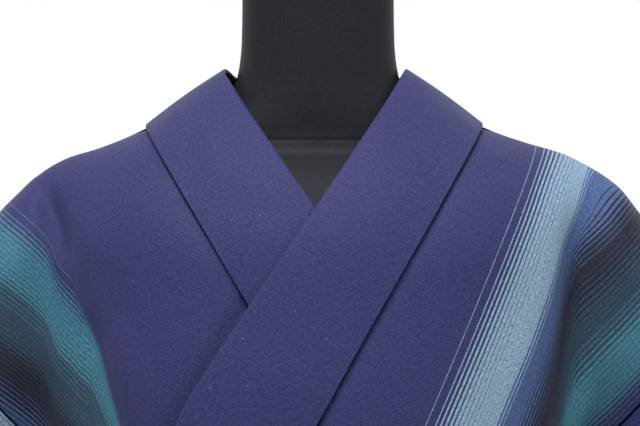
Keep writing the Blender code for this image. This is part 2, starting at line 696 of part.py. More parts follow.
def build():
    clear_scene()
    navy = make_material("navy_cloth", (0.046, 0.043, 0.150), 0.75)
    black = make_material("black_cover", (0.016, 0.016, 0.019), 0.55)
    steel = make_material("black_steel", (0.030, 0.030, 0.032), 0.40, 0.6)

    body_panel("body_left", 1, navy)
    body_panel("body_right", -1, navy)
    overlap_panel("overlap_left", 1, navy)
    overlap_panel("overlap_right", -1, navy)
    collar("collar", navy)
    sleeve("sleeve_left", 1, navy)
    sleeve("sleeve_right", -1, navy)
    sash("sash", navy)

    ring_loft("dress_form", form_sections(), FORM_SIDES, black)
    top = FORM["z"][-1] + SEAM_GAP
    wide, front, back = (FORM[key][-1] for key in ("half_width", "front", "back"))
    cap = [
        (top, wide, front, back, NECK_Y),
        (top + CAP_HEIGHT - CAP_ROUND, wide, front, back, NECK_Y),
        (top + CAP_HEIGHT, wide - CAP_ROUND, front - CAP_ROUND, back - CAP_ROUND, NECK_Y),
    ]
    ring_loft("neck_cap", cap, FORM_SIDES, black)

    form_foot = FORM["z"][0]
    base_top = BASE_THICK
    turned(
        "stand_base",
        ((BASE_RADIUS, 0.0), (BASE_RADIUS, base_top - 0.003), (BASE_RADIUS - 0.004, base_top)),
        BASE_SIDES,
        steel,
    )
    turned(
        "stand_pole",
        (
            (FLANGE_RADIUS, base_top + SEAM_GAP),
            (FLANGE_RADIUS, base_top + FLANGE_HEIGHT),
            (POLE_RADIUS, base_top + FLANGE_HEIGHT + 0.004),
            (POLE_RADIUS, form_foot - COLLAR_RING_HEIGHT),
            (COLLAR_RING_RADIUS, form_foot - COLLAR_RING_HEIGHT + 0.002),
            (COLLAR_RING_RADIUS, form_foot - SEAM_GAP),
        ),
        POLE_SIDES,
        steel,
    )


build()
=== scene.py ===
# %% [markdown]
# # A striped kimono on a black dress form
#
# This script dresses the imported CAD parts: it gives each cloth panel its real
# surface, seams, creases and gradated stripes, and sets the studio round it.
# The front faces -Y, +Z is up, and sizes are in metres.

# %% Load the frame
import math

import bmesh
import bpy
import numpy as np
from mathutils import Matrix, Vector


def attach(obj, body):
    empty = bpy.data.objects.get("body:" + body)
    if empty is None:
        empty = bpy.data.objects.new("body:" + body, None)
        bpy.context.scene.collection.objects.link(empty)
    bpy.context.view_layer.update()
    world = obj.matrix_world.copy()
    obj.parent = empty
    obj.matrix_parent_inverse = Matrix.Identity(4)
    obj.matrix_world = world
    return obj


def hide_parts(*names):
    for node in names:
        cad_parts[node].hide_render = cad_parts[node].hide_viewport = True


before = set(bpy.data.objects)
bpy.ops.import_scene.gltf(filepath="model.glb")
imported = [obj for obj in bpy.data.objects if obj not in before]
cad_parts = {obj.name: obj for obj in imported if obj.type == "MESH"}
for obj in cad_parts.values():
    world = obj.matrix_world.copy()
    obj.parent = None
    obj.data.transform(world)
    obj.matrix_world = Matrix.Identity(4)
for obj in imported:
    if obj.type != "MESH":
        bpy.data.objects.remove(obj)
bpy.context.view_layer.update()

# %% [markdown]
# ## Curves through a few points
#
# A garment's outline is known at a few heights only. A curve through those
# points that never swings past them gives a calm line, as cloth under its own
# weight has. Every table below is read through this one function.


# %% Smooth reading of tables
def ease(value):
    """0 below 0, 1 above 1, and a smooth step between."""
    share = np.clip(value, 0.0, 1.0)
    return share * share * (3.0 - 2.0 * share)


def smooth(xs, ys):
    """A function that reads a smooth curve through points, with no overshoot."""
    xs, ys = np.asarray(xs, float), np.asarray(ys, float)
    steps = np.diff(xs)
    slopes = np.diff(ys) / steps
    before, after = np.append(slopes[0], slopes), np.append(slopes, slopes[-1])
    same_way = before * after > 0
    total = np.where(same_way, before + after, 1.0)
    tangents = np.where(same_way, 2.0 * before * after / total, 0.0)

    def read(at):
        at = np.clip(at, xs[0], xs[-1])
        i = np.clip(np.searchsorted(xs, at, side="right") - 1, 0, len(xs) - 2)
        t = (at - xs[i]) / steps[i]
        start = (1 + 2 * t) * (1 - t) ** 2 * ys[i] + t * (1 - t) ** 2 * steps[i] * tangents[i]
        end = t * t * (3 - 2 * t) * ys[i + 1] + t * t * (t - 1) * steps[i] * tangents[i + 1]
        return start + end

    return read


# %% [markdown]
# ## The body under the cloth
#
# A worn kimono wraps the body as a straight tube from the chest to the ankles.
# The tube is given by its half width and its depth to the front and back at a
# few heights, and its section is between an ellipse and a rounded box.

# %% The worn tube
ROUNDNESS = 2.2
HALF_ROUND = 0.470
WAIST_Z = 1.078

HULL = {
    "z": (0.03, 0.40, 0.76, 0.88, 0.98, 1.06, 1.14, 1.24, 1.30, 1.40),
    "half_width": (0.166, 0.171, 0.177, 0.168, 0.154, 0.154, 0.164, 0.175, 0.182, 0.185),
    "front": (0.126, 0.126, 0.127, 0.123, 0.117, 0.118, 0.125, 0.115, 0.105, 0.100),
    "back": (0.124, 0.127, 0.129, 0.119, 0.103, 0.101, 0.105, 0.102, 0.096, 0.090),
}
hull = {name: smooth(HULL["z"], HULL[name]) for name in ("half_width", "front", "back")}


def oval(angle, half, front, back):
    """The x and y of a rounded section, at angles counted from the front centre."""
    sine, cosine = np.sin(angle), np.cos(angle)
    depth = np.where(cosine >= 0, front, back)
    x = np.copysign(half * np.abs(sine) ** (2.0 / ROUNDNESS), sine)
    y = -np.copysign(depth * np.abs(cosine) ** (2.0 / ROUNDNESS), cosine)
    return x, y


ring_levels = np.linspace(0.03, 1.40, 138)
ring_angles = np.linspace(0.0, math.pi, 361)
ring_cloth = np.linspace(0.0, HALF_ROUND, 236)
angle_table = []
for level in ring_levels:
    xs, ys = oval(ring_angles, *(hull[name](level) for name in ("half_width", "front", "back")))
    length = np.append(0.0, np.cumsum(np.hypot(np.diff(xs), np.diff(ys))))
    angle_table.append(np.interp(ring_cloth, length * HALF_ROUND / length[-1], ring_angles))
angle_table = np.array(angle_table)


def ring_point(cloth, z, out):
    """The tube's point at a length of cloth from the front centre, plus towards +X."""
    row = np.clip((z - ring_levels[0]) / (ring_levels[1] - ring_levels[0]), 0, len(ring_levels) - 1.001)
    column = np.clip(np.abs(cloth) / ring_cloth[1], 0, len(ring_cloth) - 1.001)
    row, column = np.broadcast_arrays(row, column)
    i, j = row.astype(int), column.astype(int)
    a, b = row - i, column - j
    low = (1 - b) * angle_table[i, j] + b * angle_table[i, j + 1]
    high = (1 - b) * angle_table[i + 1, j] + b * angle_table[i + 1, j + 1]
    angle = (1 - a) * low + a * high
    x, y = oval(angle, *(hull[name](z) + out for name in ("half_width", "front", "back")))
    return np.where(cloth < 0, -x, x), y


print("tube at the waist, mm:", round(2000 * float(hull["half_width"](WAIST_Z))))

# %% [markdown]
# ## The shoulders
#
# A kimono body panel is one straight length of cloth that goes over the
# shoulder. It lies on the form's shoulder, then stands off beyond it as a
# wing towards the sleeve, with a long valley between the wing and the chest.

# %% The shoulder line and what hangs from it
RIDGE_Y = 0.008
SHOULDER = {
    1: {
        "x": (0.000, 0.030, 0.059, 0.084, 0.109, 0.139, 0.162, 0.176, 0.201, 0.216, 0.2425, 0.269),
        "z": (1.386, 1.385, 1.379, 1.3603, 1.3428, 1.3317, 1.3250, 1.3187, 1.3026, 1.2843, 1.2515, 1.212),
    },
    -1: {
        "x": (0.000, 0.032, 0.062, 0.088, 0.114, 0.146, 0.168, 0.190, 0.201, 0.213, 0.2425, 0.269),
        "z": (1.386, 1.385, 1.379, 1.3603, 1.3420, 1.3282, 1.3213, 1.3085, 1.298, 1.2860, 1.2515, 1.212),
    },
}
shoulder = {side: smooth(SHOULDER[side]["x"], SHOULDER[side]["z"]) for side in (1, -1)}


CORNER = 0.86
NECK_SIDE = 0.06
TURN_DROP, TURN_DROP_AT_NECK = 0.085, 0.130
WING = {"depth": 0.034, "swell": 0.010, "swell_from": 0.165, "swell_over": 0.045}
WING_DROP, WING_FADE, WING_SOFT = 0.055, 0.12, 0.012


def falloff(share):
    """A rounded section that runs on straight past its corner, so a valley stays soft."""
    base = 1.0 - CORNER ** ROUNDNESS
    slope = CORNER ** (ROUNDNESS - 1.0) * base ** (1.0 / ROUNDNESS - 1.0)
    inside = (1.0 - np.clip(share, 0.0, CORNER) ** ROUNDNESS) ** (1.0 / ROUNDNESS)
    beyond = np.maximum(0.0, base ** (1.0 / ROUNDNESS) - slope * (share - CORNER))
    return np.where(share <= CORNER, inside, beyond)


def depth_at(side, x, z, face, out):
    """How far the worn cloth stands in front of, or behind, the shoulder line."""
    drop_from = shoulder[side](x) - z
    near_neck = 1.0 - ease((x - NECK_SIDE) / NECK_SIDE)
    turned_at = TURN_DROP + (TURN_DROP_AT_NECK - TURN_DROP) * near_neck
    drop = np.clip(drop_from / turned_at, 0.0, 1.0)
    turn = (drop * (2.0 - drop)) ** (0.5 + 0.1 * near_neck)
    torso = (hull[face](z) + out) * falloff(x / (hull["half_width"](z) + out)) * turn
    wing_drop = np.clip(drop_from / WING_DROP, 0.0, 1.0)
    fade = ease((z - WAIST_Z) / WING_FADE)
    swell = WING["swell"] * ease((x - WING["swell_from"]) / WING["swell_over"])
    wing = (WING["depth"] + swell) * fade * np.sqrt(wing_drop * (2.0 - wing_drop))
    blend = WING_SOFT * fade * wing_drop
    joined = 0.5 * (torso + wing + np.sqrt((torso - wing) ** 2 + blend ** 2))
    return np.where(wing > 0, joined, torso)


# %% [markdown]
# ## The cut cloth
#
# Each panel is described in the flat cloth it was cut from: u is the distance
# across the cloth from the centre-back line, and the rows count down from the
# shoulder to the hem. The stripes are woven along the cloth, so they follow u,
# and the drape bends them just as it does on the real garment.

# %% Threads from the shoulder to the waist
CLOTH = 0.0012
SEAM_GAP = 0.0003
NECK_CUT = 0.088
SLEEVE_SEAM = 0.320
BACK_WIDTH = 0.258
SIDE_SEAM_FRONT = 0.295
FRONT_CENTRE = 0.083
BACK_NECK_Z = 1.318
CHEST_OVER = 0.0062
OVER_ENDS = 0.264
OVER_FROM_Z, OVER_FADE = 1.345, 0.06
NECK_CURVE = 2.2
WRAP_FROM, WRAP_SOONER = 0.90, 0.45

GRAIN = {
    "u": (0.000, 0.060, 0.088, 0.131, 0.150, 0.181, 0.205, 0.227, 0.253, 0.285, 0.320),
    "x": (0.014, 0.082, 0.110, 0.147, 0.162, 0.179, 0.197, 0.213, 0.231, 0.250, 0.269),
    "bow": (-0.09, -0.09, -0.09, -0.05, -0.15, -0.45, -0.05, 0.30, 0.45, 0.40, 0.30),
}
grain_x, grain_bow = (smooth(GRAIN["u"], GRAIN[name]) for name in ("x", "bow"))


def over_share(u):
    """How much of the top front's extra depth applies: none at its side seam."""
    return 1.0 - ease((u - OVER_ENDS) / (SIDE_SEAM_FRONT - OVER_ENDS))


def cloth_round(u, face):
    """Cloth length round the body from the front centre."""
    return u - FRONT_CENTRE if face == "front" else HALF_ROUND - u


def upper_point(side, u, share, face):
    """Points on a body panel between the shoulder line and the waist."""
    corner = SHOULDER[side]["x"][4]
    start_x = grain_x(u) + (corner - SHOULDER[1]["x"][4]) * ease(1.0 - np.abs(u - NECK_CUT) / 0.12)
    start_z = shoulder[side](start_x)
    bow = grain_bow(u)
    if face == "back":
        at_neck = u < NECK_CUT
        rise = shoulder[side](corner) - BACK_NECK_Z
        start_x = np.where(at_neck, corner * u / NECK_CUT, start_x)
        start_z = np.where(at_neck, BACK_NECK_Z + rise * np.clip(u / NECK_CUT, 0, 1) ** NECK_CURVE, start_z)
        bow = np.where(at_neck, 0.0, bow)
    over = CHEST_OVER * over_share(u) if side == 1 and face == "front" else 0.0 * u
    cloth = cloth_round(u, face)
    waist_x, _ = ring_point(cloth, WAIST_Z, over)
    x = start_x + (waist_x - start_x) * (share + bow * share * (1.0 - share))
    z = start_z + (WAIST_Z - start_z) * share
    out = over * ease((OVER_FROM_Z - z) / OVER_FADE)
    depth = depth_at(side, np.abs(x), z, face, out)
    y = RIDGE_Y * (1.0 - share) + (-depth if face == "front" else depth)
    wrap_from = WRAP_FROM - WRAP_SOONER * ease((u - 0.19) / 0.07)
    y += (ring_point(cloth, z, out)[1] - y) * ease((share - wrap_from) / (1.0 - wrap_from))
    return np.stack([x * side, y, z], axis=-1)


# %% [markdown]
# ## Waist fold and skirt
#
# A woman's kimono is cut longer than she is tall. The spare length is drawn up
# and falls back over itself in a flat fold below the sash. The rows below go
# down, turn under at the fold's lower edge, go up behind it and down again.

# %% Rows from the waist to the hem
UPPER_SHARES = (0.0, 0.005, 0.02, 0.045, 0.08, 0.125, 0.18, 0.25, 0.33, 0.42, 0.52, 0.63, 0.735, 0.86, 1.0)
LOWER_ROWS = {
    "z": (
        WAIST_Z, 1.040, 0.982, 0.960, 0.932, 0.890, 0.8795, 0.876, 0.8795, 0.890, 0.910, 0.9180,
        0.9215, 0.9180, 0.910, 0.860, 0.76, 0.63, 0.49, 0.34, 0.19, 0.035,
    ),
    "fold": (
        0.0, 0.0, 0.0, 0.0040, 0.0070, 0.0070, 0.0064, 0.00525, 0.0041, 0.0035, 0.0035, 0.0029,
        0.00175, 0.0006, 0.0, 0.0, 0.0, 0.0, 0.0, 0.0, 0.0, 0.0,
    ),
    "over": (
        0.0062, 0.0062, 0.0062, 0.0100, 0.0135, 0.0135, 0.0135, 0.0135, 0.0135, 0.0135, 0.0135,
        0.0135, 0.0135, 0.0135, 0.0135, 0.0115, 0.0095, 0.0085, 0.0075, 0.0065, 0.0060, 0.0055,
    ),
}
WAIST_ROW = len(UPPER_SHARES) - 1
LAST_ROW = WAIST_ROW + len(LOWER_ROWS["z"]) - 1
FOLD_ROW = WAIST_ROW + 7
upper_share = smooth(range(WAIST_ROW + 1), UPPER_SHARES)
lower = {name: smooth(range(WAIST_ROW, LAST_ROW + 1), LOWER_ROWS[name]) for name in LOWER_ROWS}


def panel_point(side, u, row, face, share=None):
    """Points on a body or overlap panel; row counts down from the shoulder line."""
    u, row = np.broadcast_arrays(np.asarray(u, float), np.asarray(row, float))
    high = upper_point(side, u, upper_share(row) if share is None else share, face)
    out = lower["fold"](row)
    if side == 1 and face == "front":
        out = out + lower["over"](row) * over_share(u)
    x, y = ring_point(cloth_round(u, face), lower["z"](row), out)
    low = np.stack([x * side, y, lower["z"](row)], axis=-1)
    return np.where((row <= WAIST_ROW)[..., None], high, low)


def rows_between(first, last, step, fine_from=FOLD_ROW - 4, fine_to=FOLD_ROW + 8):
    """Row numbers with about the same length of cloth between them, finer in the fold."""
    rows = [float(first)]
    for row in np.arange(math.floor(first), math.ceil(last)):
        low, high = max(row, first), min(row + 1.0, last)
        ends = panel_point(-1, 0.2, np.array([low, high]), "front")
        size = step * (0.3 if fine_from <= row < fine_to else 1.0)
        count = max(2, int(np.linalg.norm(ends[1] - ends[0]) / size + 0.5))
        rows += list(np.linspace(low, high, count + 1)[1:])
    return np.array(rows)


print("rows at a 6 mm step, front:", len(rows_between(0, LAST_ROW, 0.006)))

# %% [markdown]
# ## A sheet of cloth from a grid
#
# Every cloth piece starts as Blender's own flat grid. Its corners are moved to
# their places on the worn shape, its UV map keeps the flat cloth's metres, and
# a Solidify modifier gives it the thickness of the lined cloth, inwards.


# %% Grid to cloth
def unit(vectors):
    return vectors / np.maximum(np.linalg.norm(vectors, axis=-1, keepdims=True), 1e-12)


def normals_of(points, centre, closed=False):
    """Directions out of a grid of points, away from centre."""
    if closed:
        padded = np.concatenate([points[:, -2:-1], points, points[:, 1:2]], axis=1)
        across = (padded[:, 2:] - padded[:, :-2])
    else:
        across = np.gradient(points, axis=1)
    down = np.gradient(points, axis=0)
    normals = unit(np.cross(down, across))
    return normals if (normals * (points - centre)).sum() > 0 else -normals


def sheet_object(name, points, uv, centre, thickness=CLOTH, closed=False, ends="open"):
    """A smooth sheet through a grid of points. With closed, its last column meets its first."""
    rows, columns = points.shape[:2]
    mesh = bmesh.new()
    bmesh.ops.create_grid(mesh, x_segments=rows - 1, y_segments=columns - 1, size=0.5)
    layer = mesh.loops.layers.uv.new("cloth")
    for vertex in mesh.verts:
        i = round((vertex.co.x + 0.5) * (rows - 1))
        j = round((vertex.co.y + 0.5) * (columns - 1))
        vertex.co = points[i, j]
        for loop in vertex.link_loops:
            loop[layer].uv = uv[i, j]
    if closed:
        seam = [v for v in mesh.verts if v.is_boundary]
        bmesh.ops.remove_doubles(mesh, verts=seam, dist=1e-6)
    if ends == "filled":
        bmesh.ops.holes_fill(mesh, edges=[e for e in mesh.edges if e.is_boundary], sides=0)
    bmesh.ops.recalc_face_normals(mesh, faces=mesh.faces[:])
    if ends == "open":
        outward = sum(f.normal.dot(f.calc_center_median() - Vector(centre)) for f in mesh.faces)
        if outward < 0:
            bmesh.ops.reverse_faces(mesh, faces=mesh.faces[:])
    item = link_mesh(name, mesh)
    if thickness:
        wall = item.modifiers.new("cloth thickness", "SOLIDIFY")
        wall.thickness, wall.offset, wall.use_rim = thickness, -1.0, True
    return item


def link_mesh(name, mesh, smooth_angle=50.0):
    """Makes an object of a bmesh, smooth except at its sharp edges."""
    data = bpy.data.meshes.new(name)
    mesh.to_mesh(data)
    mesh.free()
    data.shade_smooth()
    data.set_sharp_from_angle(angle=math.radians(smooth_angle))
    item = bpy.data.objects.new(name, data)
    bpy.context.scene.collection.objects.link(item)
    return item


def cloth_lengths(points):
    """Length of cloth down the middle of a grid of points, row by row."""
    middle = points[:, points.shape[1] // 2]
    return np.append(0.0, np.cumsum(np.linalg.norm(np.diff(middle, axis=0), axis=1)))


# %% [markdown]
# ## Creases
#
# Cloth that hangs from a shoulder buckles into long soft troughs and ridges.
# Each one here is given one by one: its path seen from the front or the back,
# how wide it is, how deep (plus is out), and over what length its ends fade.
# They differ in length, depth and spacing, as real ones do.

# %% Creases of the chest and back
CREASES = (
    # face, path in x and z, width, height, fade
    ("front", (
        (0.1745, 1.305), (0.1725, 1.262), (0.1695, 1.220), (0.168, 1.196), (0.166, 1.170),
        (0.164, 1.143), (0.157, 1.105),
    ), 0.0100, -0.0080, 0.05),
    ("front", (
        (0.192, 1.290), (0.190, 1.250), (0.187, 1.215), (0.180, 1.175), (0.172, 1.135),
    ), 0.0120, 0.0030, 0.05),
    ("front", ((0.150, 1.270), (0.146, 1.235), (0.137, 1.195), (0.124, 1.150)), 0.0120, 0.0020, 0.05),
    ("front", ((0.105, 1.3225), (0.119, 1.3195), (0.132, 1.318)), 0.0035, 0.0017, 0.012),
    ("front", ((-0.189, 1.314), (-0.179, 1.292), (-0.170, 1.266), (-0.164, 1.238)), 0.0070, -0.0058, 0.03),
    ("front", ((-0.157, 1.300), (-0.152, 1.270), (-0.146, 1.240)), 0.0080, 0.0020, 0.03),
    ("front", ((-0.140, 1.262), (-0.134, 1.236), (-0.130, 1.205)), 0.0070, -0.0016, 0.02),
    ("front", (
        (-0.036, 1.240), (-0.0468, 1.2234), (-0.070, 1.184), (-0.0947, 1.1435), (-0.110, 1.118),
    ), 0.0045, -0.0030, 0.02),
    ("front", ((-0.178, 1.262), (-0.170, 1.250), (-0.166, 1.236)), 0.0050, 0.0016, 0.015),
    ("front", (
        (-0.158, 1.232), (-0.151, 1.208), (-0.143, 1.180), (-0.134, 1.147), (-0.126, 1.110),
    ), 0.0090, -0.0060, 0.04),
    ("front", ((-0.136, 1.220), (-0.124, 1.180), (-0.112, 1.140)), 0.0110, 0.0020, 0.04),
    ("front", ((-0.182, 1.225), (-0.172, 1.190), (-0.160, 1.150), (-0.150, 1.115)), 0.0130, 0.0040, 0.05),
    ("back", ((0.176, 1.285), (0.166, 1.235), (0.156, 1.180), (0.141, 1.115)), 0.0090, -0.0032, 0.05),
    ("back", ((0.120, 1.270), (0.128, 1.215), (0.126, 1.150)), 0.0130, 0.0022, 0.05),
    ("back", ((-0.180, 1.280), (-0.168, 1.240), (-0.160, 1.190), (-0.147, 1.120)), 0.0085, -0.0034, 0.05),
    ("back", ((-0.100, 1.255), (-0.114, 1.200), (-0.119, 1.145)), 0.0140, 0.0020, 0.05),
    ("back", ((0.045, 1.200), (0.052, 1.150), (0.050, 1.105)), 0.0100, -0.0016, 0.04),
)

# %% [markdown]
# Below the sash the skirt hangs straight, with a few shallow folds that start
# under the waist fold or rise from the hem. They are set by their direction
# round the body, so both fronts bend together and never cut through each other.

# %% Folds of the skirt
SKIRT_FOLDS = {
    "degrees": (-152, -118, -84, -47, -19, 14, 38, 71, 104, 131, 168),
    "turn": (6, -5, 4, 3, -3, -4, 5, -6, 3, 5, -4),
    "width": (11, 9, 13, 8, 10, 9, 7, 12, 10, 13, 9),
    "top": (0.70, 0.62, 0.80, 0.55, 0.83, 0.60, 0.80, 0.66, 0.52, 0.78, 0.64),
    "height": (0.0040, -0.0035, 0.0045, -0.0022, 0.0024, -0.0020, 0.0026, -0.0045, 0.0036, -0.0038, 0.0042),
}
FOLD_FADE = 0.35
PATH_STEPS = 60


def crease_heights(points, face):
    """How far out each point is moved by the creases that lie on its face."""
    x, y, z = points[..., 0], points[..., 1], points[..., 2]
    height = np.zeros(x.shape)
    for side_of, path, width, rise, fade in CREASES:
        if side_of != face:
            continue
        path = np.array(path)
        along = np.append(0.0, np.cumsum(np.linalg.norm(np.diff(path, axis=0), axis=1)))
        steps = np.linspace(0.0, along[-1], PATH_STEPS)
        line_x, line_z = smooth(along, path[:, 0])(steps), smooth(along, path[:, 1])(steps)
        nearest, place = np.full(x.shape, 1e9), np.zeros(x.shape)
        for step, a, b in zip(steps, line_x, line_z):
            away = np.hypot(x - a, z - b)
            closer = away < nearest
            nearest, place = np.where(closer, away, nearest), np.where(closer, step, place)
        ends = ease(place / fade) * ease((along[-1] - place) / fade)
        height += rise * ends * np.exp(-((nearest / width) ** 2))
    turn = np.degrees(np.arctan2(x, -y))
    for centre, lean, width, top, rise in zip(*SKIRT_FOLDS.values()):
        away = (turn - centre - lean * (top - z) + 180.0) % 360.0 - 180.0
        height += rise * ease((top - z) / FOLD_FADE) * np.exp(-((away / width) ** 2))
    return height


# %% [markdown]
# ## Edges at the seams
#
# Panels are joined by small turned-in seams. Pressed cloth rolls in towards
# its seam over the last few millimetres, which shows as a soft, fine valley.

# %% Columns that are denser at both edges
EDGE_ROLL = 0.0020
EDGE_REACH = 0.0050


def columns_across(inner, outer, count):
    """Distances across a panel, with extra columns close to both of its edges."""
    near = EDGE_REACH * np.array([0.0, 0.2, 0.5, 1.0])
    width = outer - inner
    middle = np.linspace(0.0, 1.0, count)[1:-1][None, :]
    reach = np.minimum(near[None, :], 0.12 * width[:, None])
    edge = reach[:, -1:]
    inside = edge + (width[:, None] - 2 * edge) * middle
    return inner[:, None] + np.concatenate([reach, inside, width[:, None] - reach[:, ::-1]], axis=1)


def rolled(u, inner, outer, inner_reach=EDGE_REACH):
    """How far in the cloth lies near its edges."""
    at_inner = 1.0 - np.sqrt(np.clip((u - inner[:, None]) / inner_reach, 0.0, 1.0))
    at_outer = 1.0 - np.sqrt(np.clip((outer[:, None] - u) / EDGE_REACH, 0.0, 1.0))
    return -EDGE_ROLL * np.maximum(at_inner, at_outer)


# %% [markdown]
# ## Body panels
#
# Each half of the body is one straight length of cloth, about 36 cm wide,
# from the front hem over the shoulder to the back hem. There is no shoulder
# seam. The front of each panel ends at the collar above and at the overlap
# panel below, and the two backs meet in the centre-back seam.

# %% Body panel edges
OVERLAP_SEAM = 0.055
COLLAR_LEAN_CUT = 0.045
COLLAR_LEAN_ANGLE = math.radians(15.5)
WAIST_LEAN = math.tan(COLLAR_LEAN_ANGLE)
NECK_ROWS = 4
TAPER_FROM = {"front": 0.45, "back": 0.30}
TORSO_CENTRE = np.array((0.0, 0.0, 0.9))


def collar_seam(row):
    """Where the collar's seam crosses a row, across the cloth."""
    low = NECK_CUT - COLLAR_LEAN_CUT - WAIST_LEAN * (WAIST_Z - lower["z"](row))
    return np.where(row <= WAIST_ROW, NECK_CUT - COLLAR_LEAN_CUT * upper_share(row), low)


def outer_edge(row, face, side_seam):
    """The panel's outer edge: at the sleeve seam above, and in at the side seam below."""
    start = TAPER_FROM[face]
    return SLEEVE_SEAM + (side_seam - SLEEVE_SEAM) * ease((upper_share(row) - start) / (1.0 - start))


def front_edges(row):
    outer = outer_edge(row, "front", SIDE_SEAM_FRONT)
    inner = np.where(row <= WAIST_ROW, np.maximum(collar_seam(row), OVERLAP_SEAM), OVERLAP_SEAM)
    return inner + SEAM_GAP / 2, outer - SEAM_GAP / 2


def back_edges(row):
    outer = outer_edge(row, "back", BACK_WIDTH)
    inner = NECK_CUT * np.clip(1.0 - row / NECK_ROWS, 0.0, 1.0)
    return inner + SEAM_GAP / 2, outer - SEAM_GAP / 2


# %% [markdown]
# ## How the stripes lie on the drape
#
# The stripes follow the warp threads. On the chest they fall at a slant and
# keep their true spacing across the cloth. Beyond the chest much of the width
# is rolled out of sight in the valley, and the threads come out of it at about
# 40 degrees over the wing. So the wing's threads are laid from one listed
# thread's path, and join the chest's in the valley. They crowd together
# a little where they reach the shoulder line.

# %% Width across the woven stripes
PITCH = 0.0029
CHEST_SLANT = 0.895
WAIST_BLEND, BACK_BLEND = 0.045, 0.16
CROWD_FROM_Z, CROWD_OVER = 1.275, 0.035
CROWD_OUTER_X, CROWD_FADE = 0.214, 0.03
WINGS = {
    1: {
        "first_line": (
            (1.130, 1.161, 1.227, 1.279, 1.312, 1.330),
            (0.1262, 0.1270, 0.1288, 0.1300, 0.1311, 0.1315),
        ),
        "first_width": 44.5 * PITCH,
        "thread": (
            (0.150, 0.158, 0.163, 0.167, 0.171, 0.176, 0.183, 0.1933, 0.211, 0.250, 0.280),
            (1.130, 1.172, 1.204, 1.223, 1.236, 1.246, 1.2545, 1.2638, 1.2824, 1.323, 1.354),
        ),
        "thread_width": 71.5 * PITCH,
        "rise": 0.66,
        "crowded": 2.6 * PITCH,
        "valley": (
            (1.080, 1.143, 1.170, 1.196, 1.220, 1.262, 1.285, 1.330),
            (0.155, 0.164, 0.166, 0.1675, 0.169, 0.1715, 0.175, 0.177),
        ),
        "valley_wide": ((1.20, 1.235, 1.270, 1.300), (0.013, 0.013, 0.016, 0.020)),
    },
    -1: {
        "first_line": ((1.1, 1.3), (0.150, 0.150)),
        "first_width": 0.150,
        "thread": (
            (
                0.120, 0.133, 0.1412, 0.1465, 0.1518, 0.1571, 0.1597, 0.1663, 0.1716, 0.1749,
                0.1769, 0.1795, 0.1835, 0.1967, 0.2099, 0.240, 0.280,
            ),
            (
                1.160, 1.186, 1.202, 1.216, 1.2266, 1.2316, 1.2360, 1.2425, 1.2484, 1.2543,
                1.2603, 1.2656, 1.2703, 1.2821, 1.2922, 1.3154, 1.346,
            ),
        ),
        "thread_width": 70.5 * PITCH,
        "rise": 0.814,
        "crowded": 0.0,
        "valley": (
            (1.080, 1.143, 1.167, 1.185, 1.210, 1.240, 1.300),
            (0.118, 0.1335, 0.140, 0.1445, 0.151, 0.158, 0.180),
        ),
        "valley_wide": ((1.1, 1.3), (0.008, 0.008)),
    },
}


def front_width(side, u, points):
    """Distance across the stripes at each point of a front panel."""
    wing = WINGS[side]
    x, z = np.abs(points[..., 0]), points[..., 2]
    steps = np.linalg.norm(np.diff(points, axis=1), axis=-1)
    arc = np.concatenate([np.zeros((len(u), 1)), np.cumsum(steps, axis=1)], axis=1)
    line_u = smooth(*wing["first_line"])(z[:, 0])
    at_line = np.array([np.interp(v, row_u, row_arc) for v, row_u, row_arc in zip(line_u, u, arc)])
    high = ease((z - CROWD_FROM_Z) / CROWD_OVER)
    slant = CHEST_SLANT + (1.0 - CHEST_SLANT) * high
    chest = wing["first_width"] + slant * (arc - at_line[:, None])
    if side == -1:
        chest = np.minimum(chest, wing["thread_width"] - 2 * PITCH)
    laid = wing["thread_width"] + wing["rise"] * (smooth(*wing["thread"])(x) - z)
    laid = laid + wing["crowded"] * high * ease((CROWD_OUTER_X - x) / CROWD_FADE)
    wide = smooth(*wing["valley_wide"])(z)
    across = ease((x - smooth(*wing["valley"])(z)) / wide + 0.5)
    shown = chest + (laid - chest) * across
    return u + (shown - u) * ease((z - WAIST_Z) / WAIST_BLEND)


def back_width(u, points, ridge_u, ridge_width):
    """On the back the threads hang straight down from where the front's cross the shoulder."""
    shown = np.interp(u, ridge_u, ridge_width)
    shown = np.where(u < ridge_u[0], u, shown)
    return u + (shown - u) * ease((points[..., 2] - WAIST_Z) / BACK_BLEND)


def back_levels(row, share):
    """The back's rows start along the neckline before they go down."""
    down = upper_share(row)[:, None]
    start = UPPER_SHARES[NECK_ROWS]
    at_neck = np.maximum(0.0, (down - start) / (1.0 - start))
    return at_neck + (down - at_neck) * ease(share / 0.4)


# %% The two body panels
FRONT_STEP, BACK_STEP = 0.0055, 0.008
BODY_COLUMNS, OVERLAP_COLUMNS = 76, 34


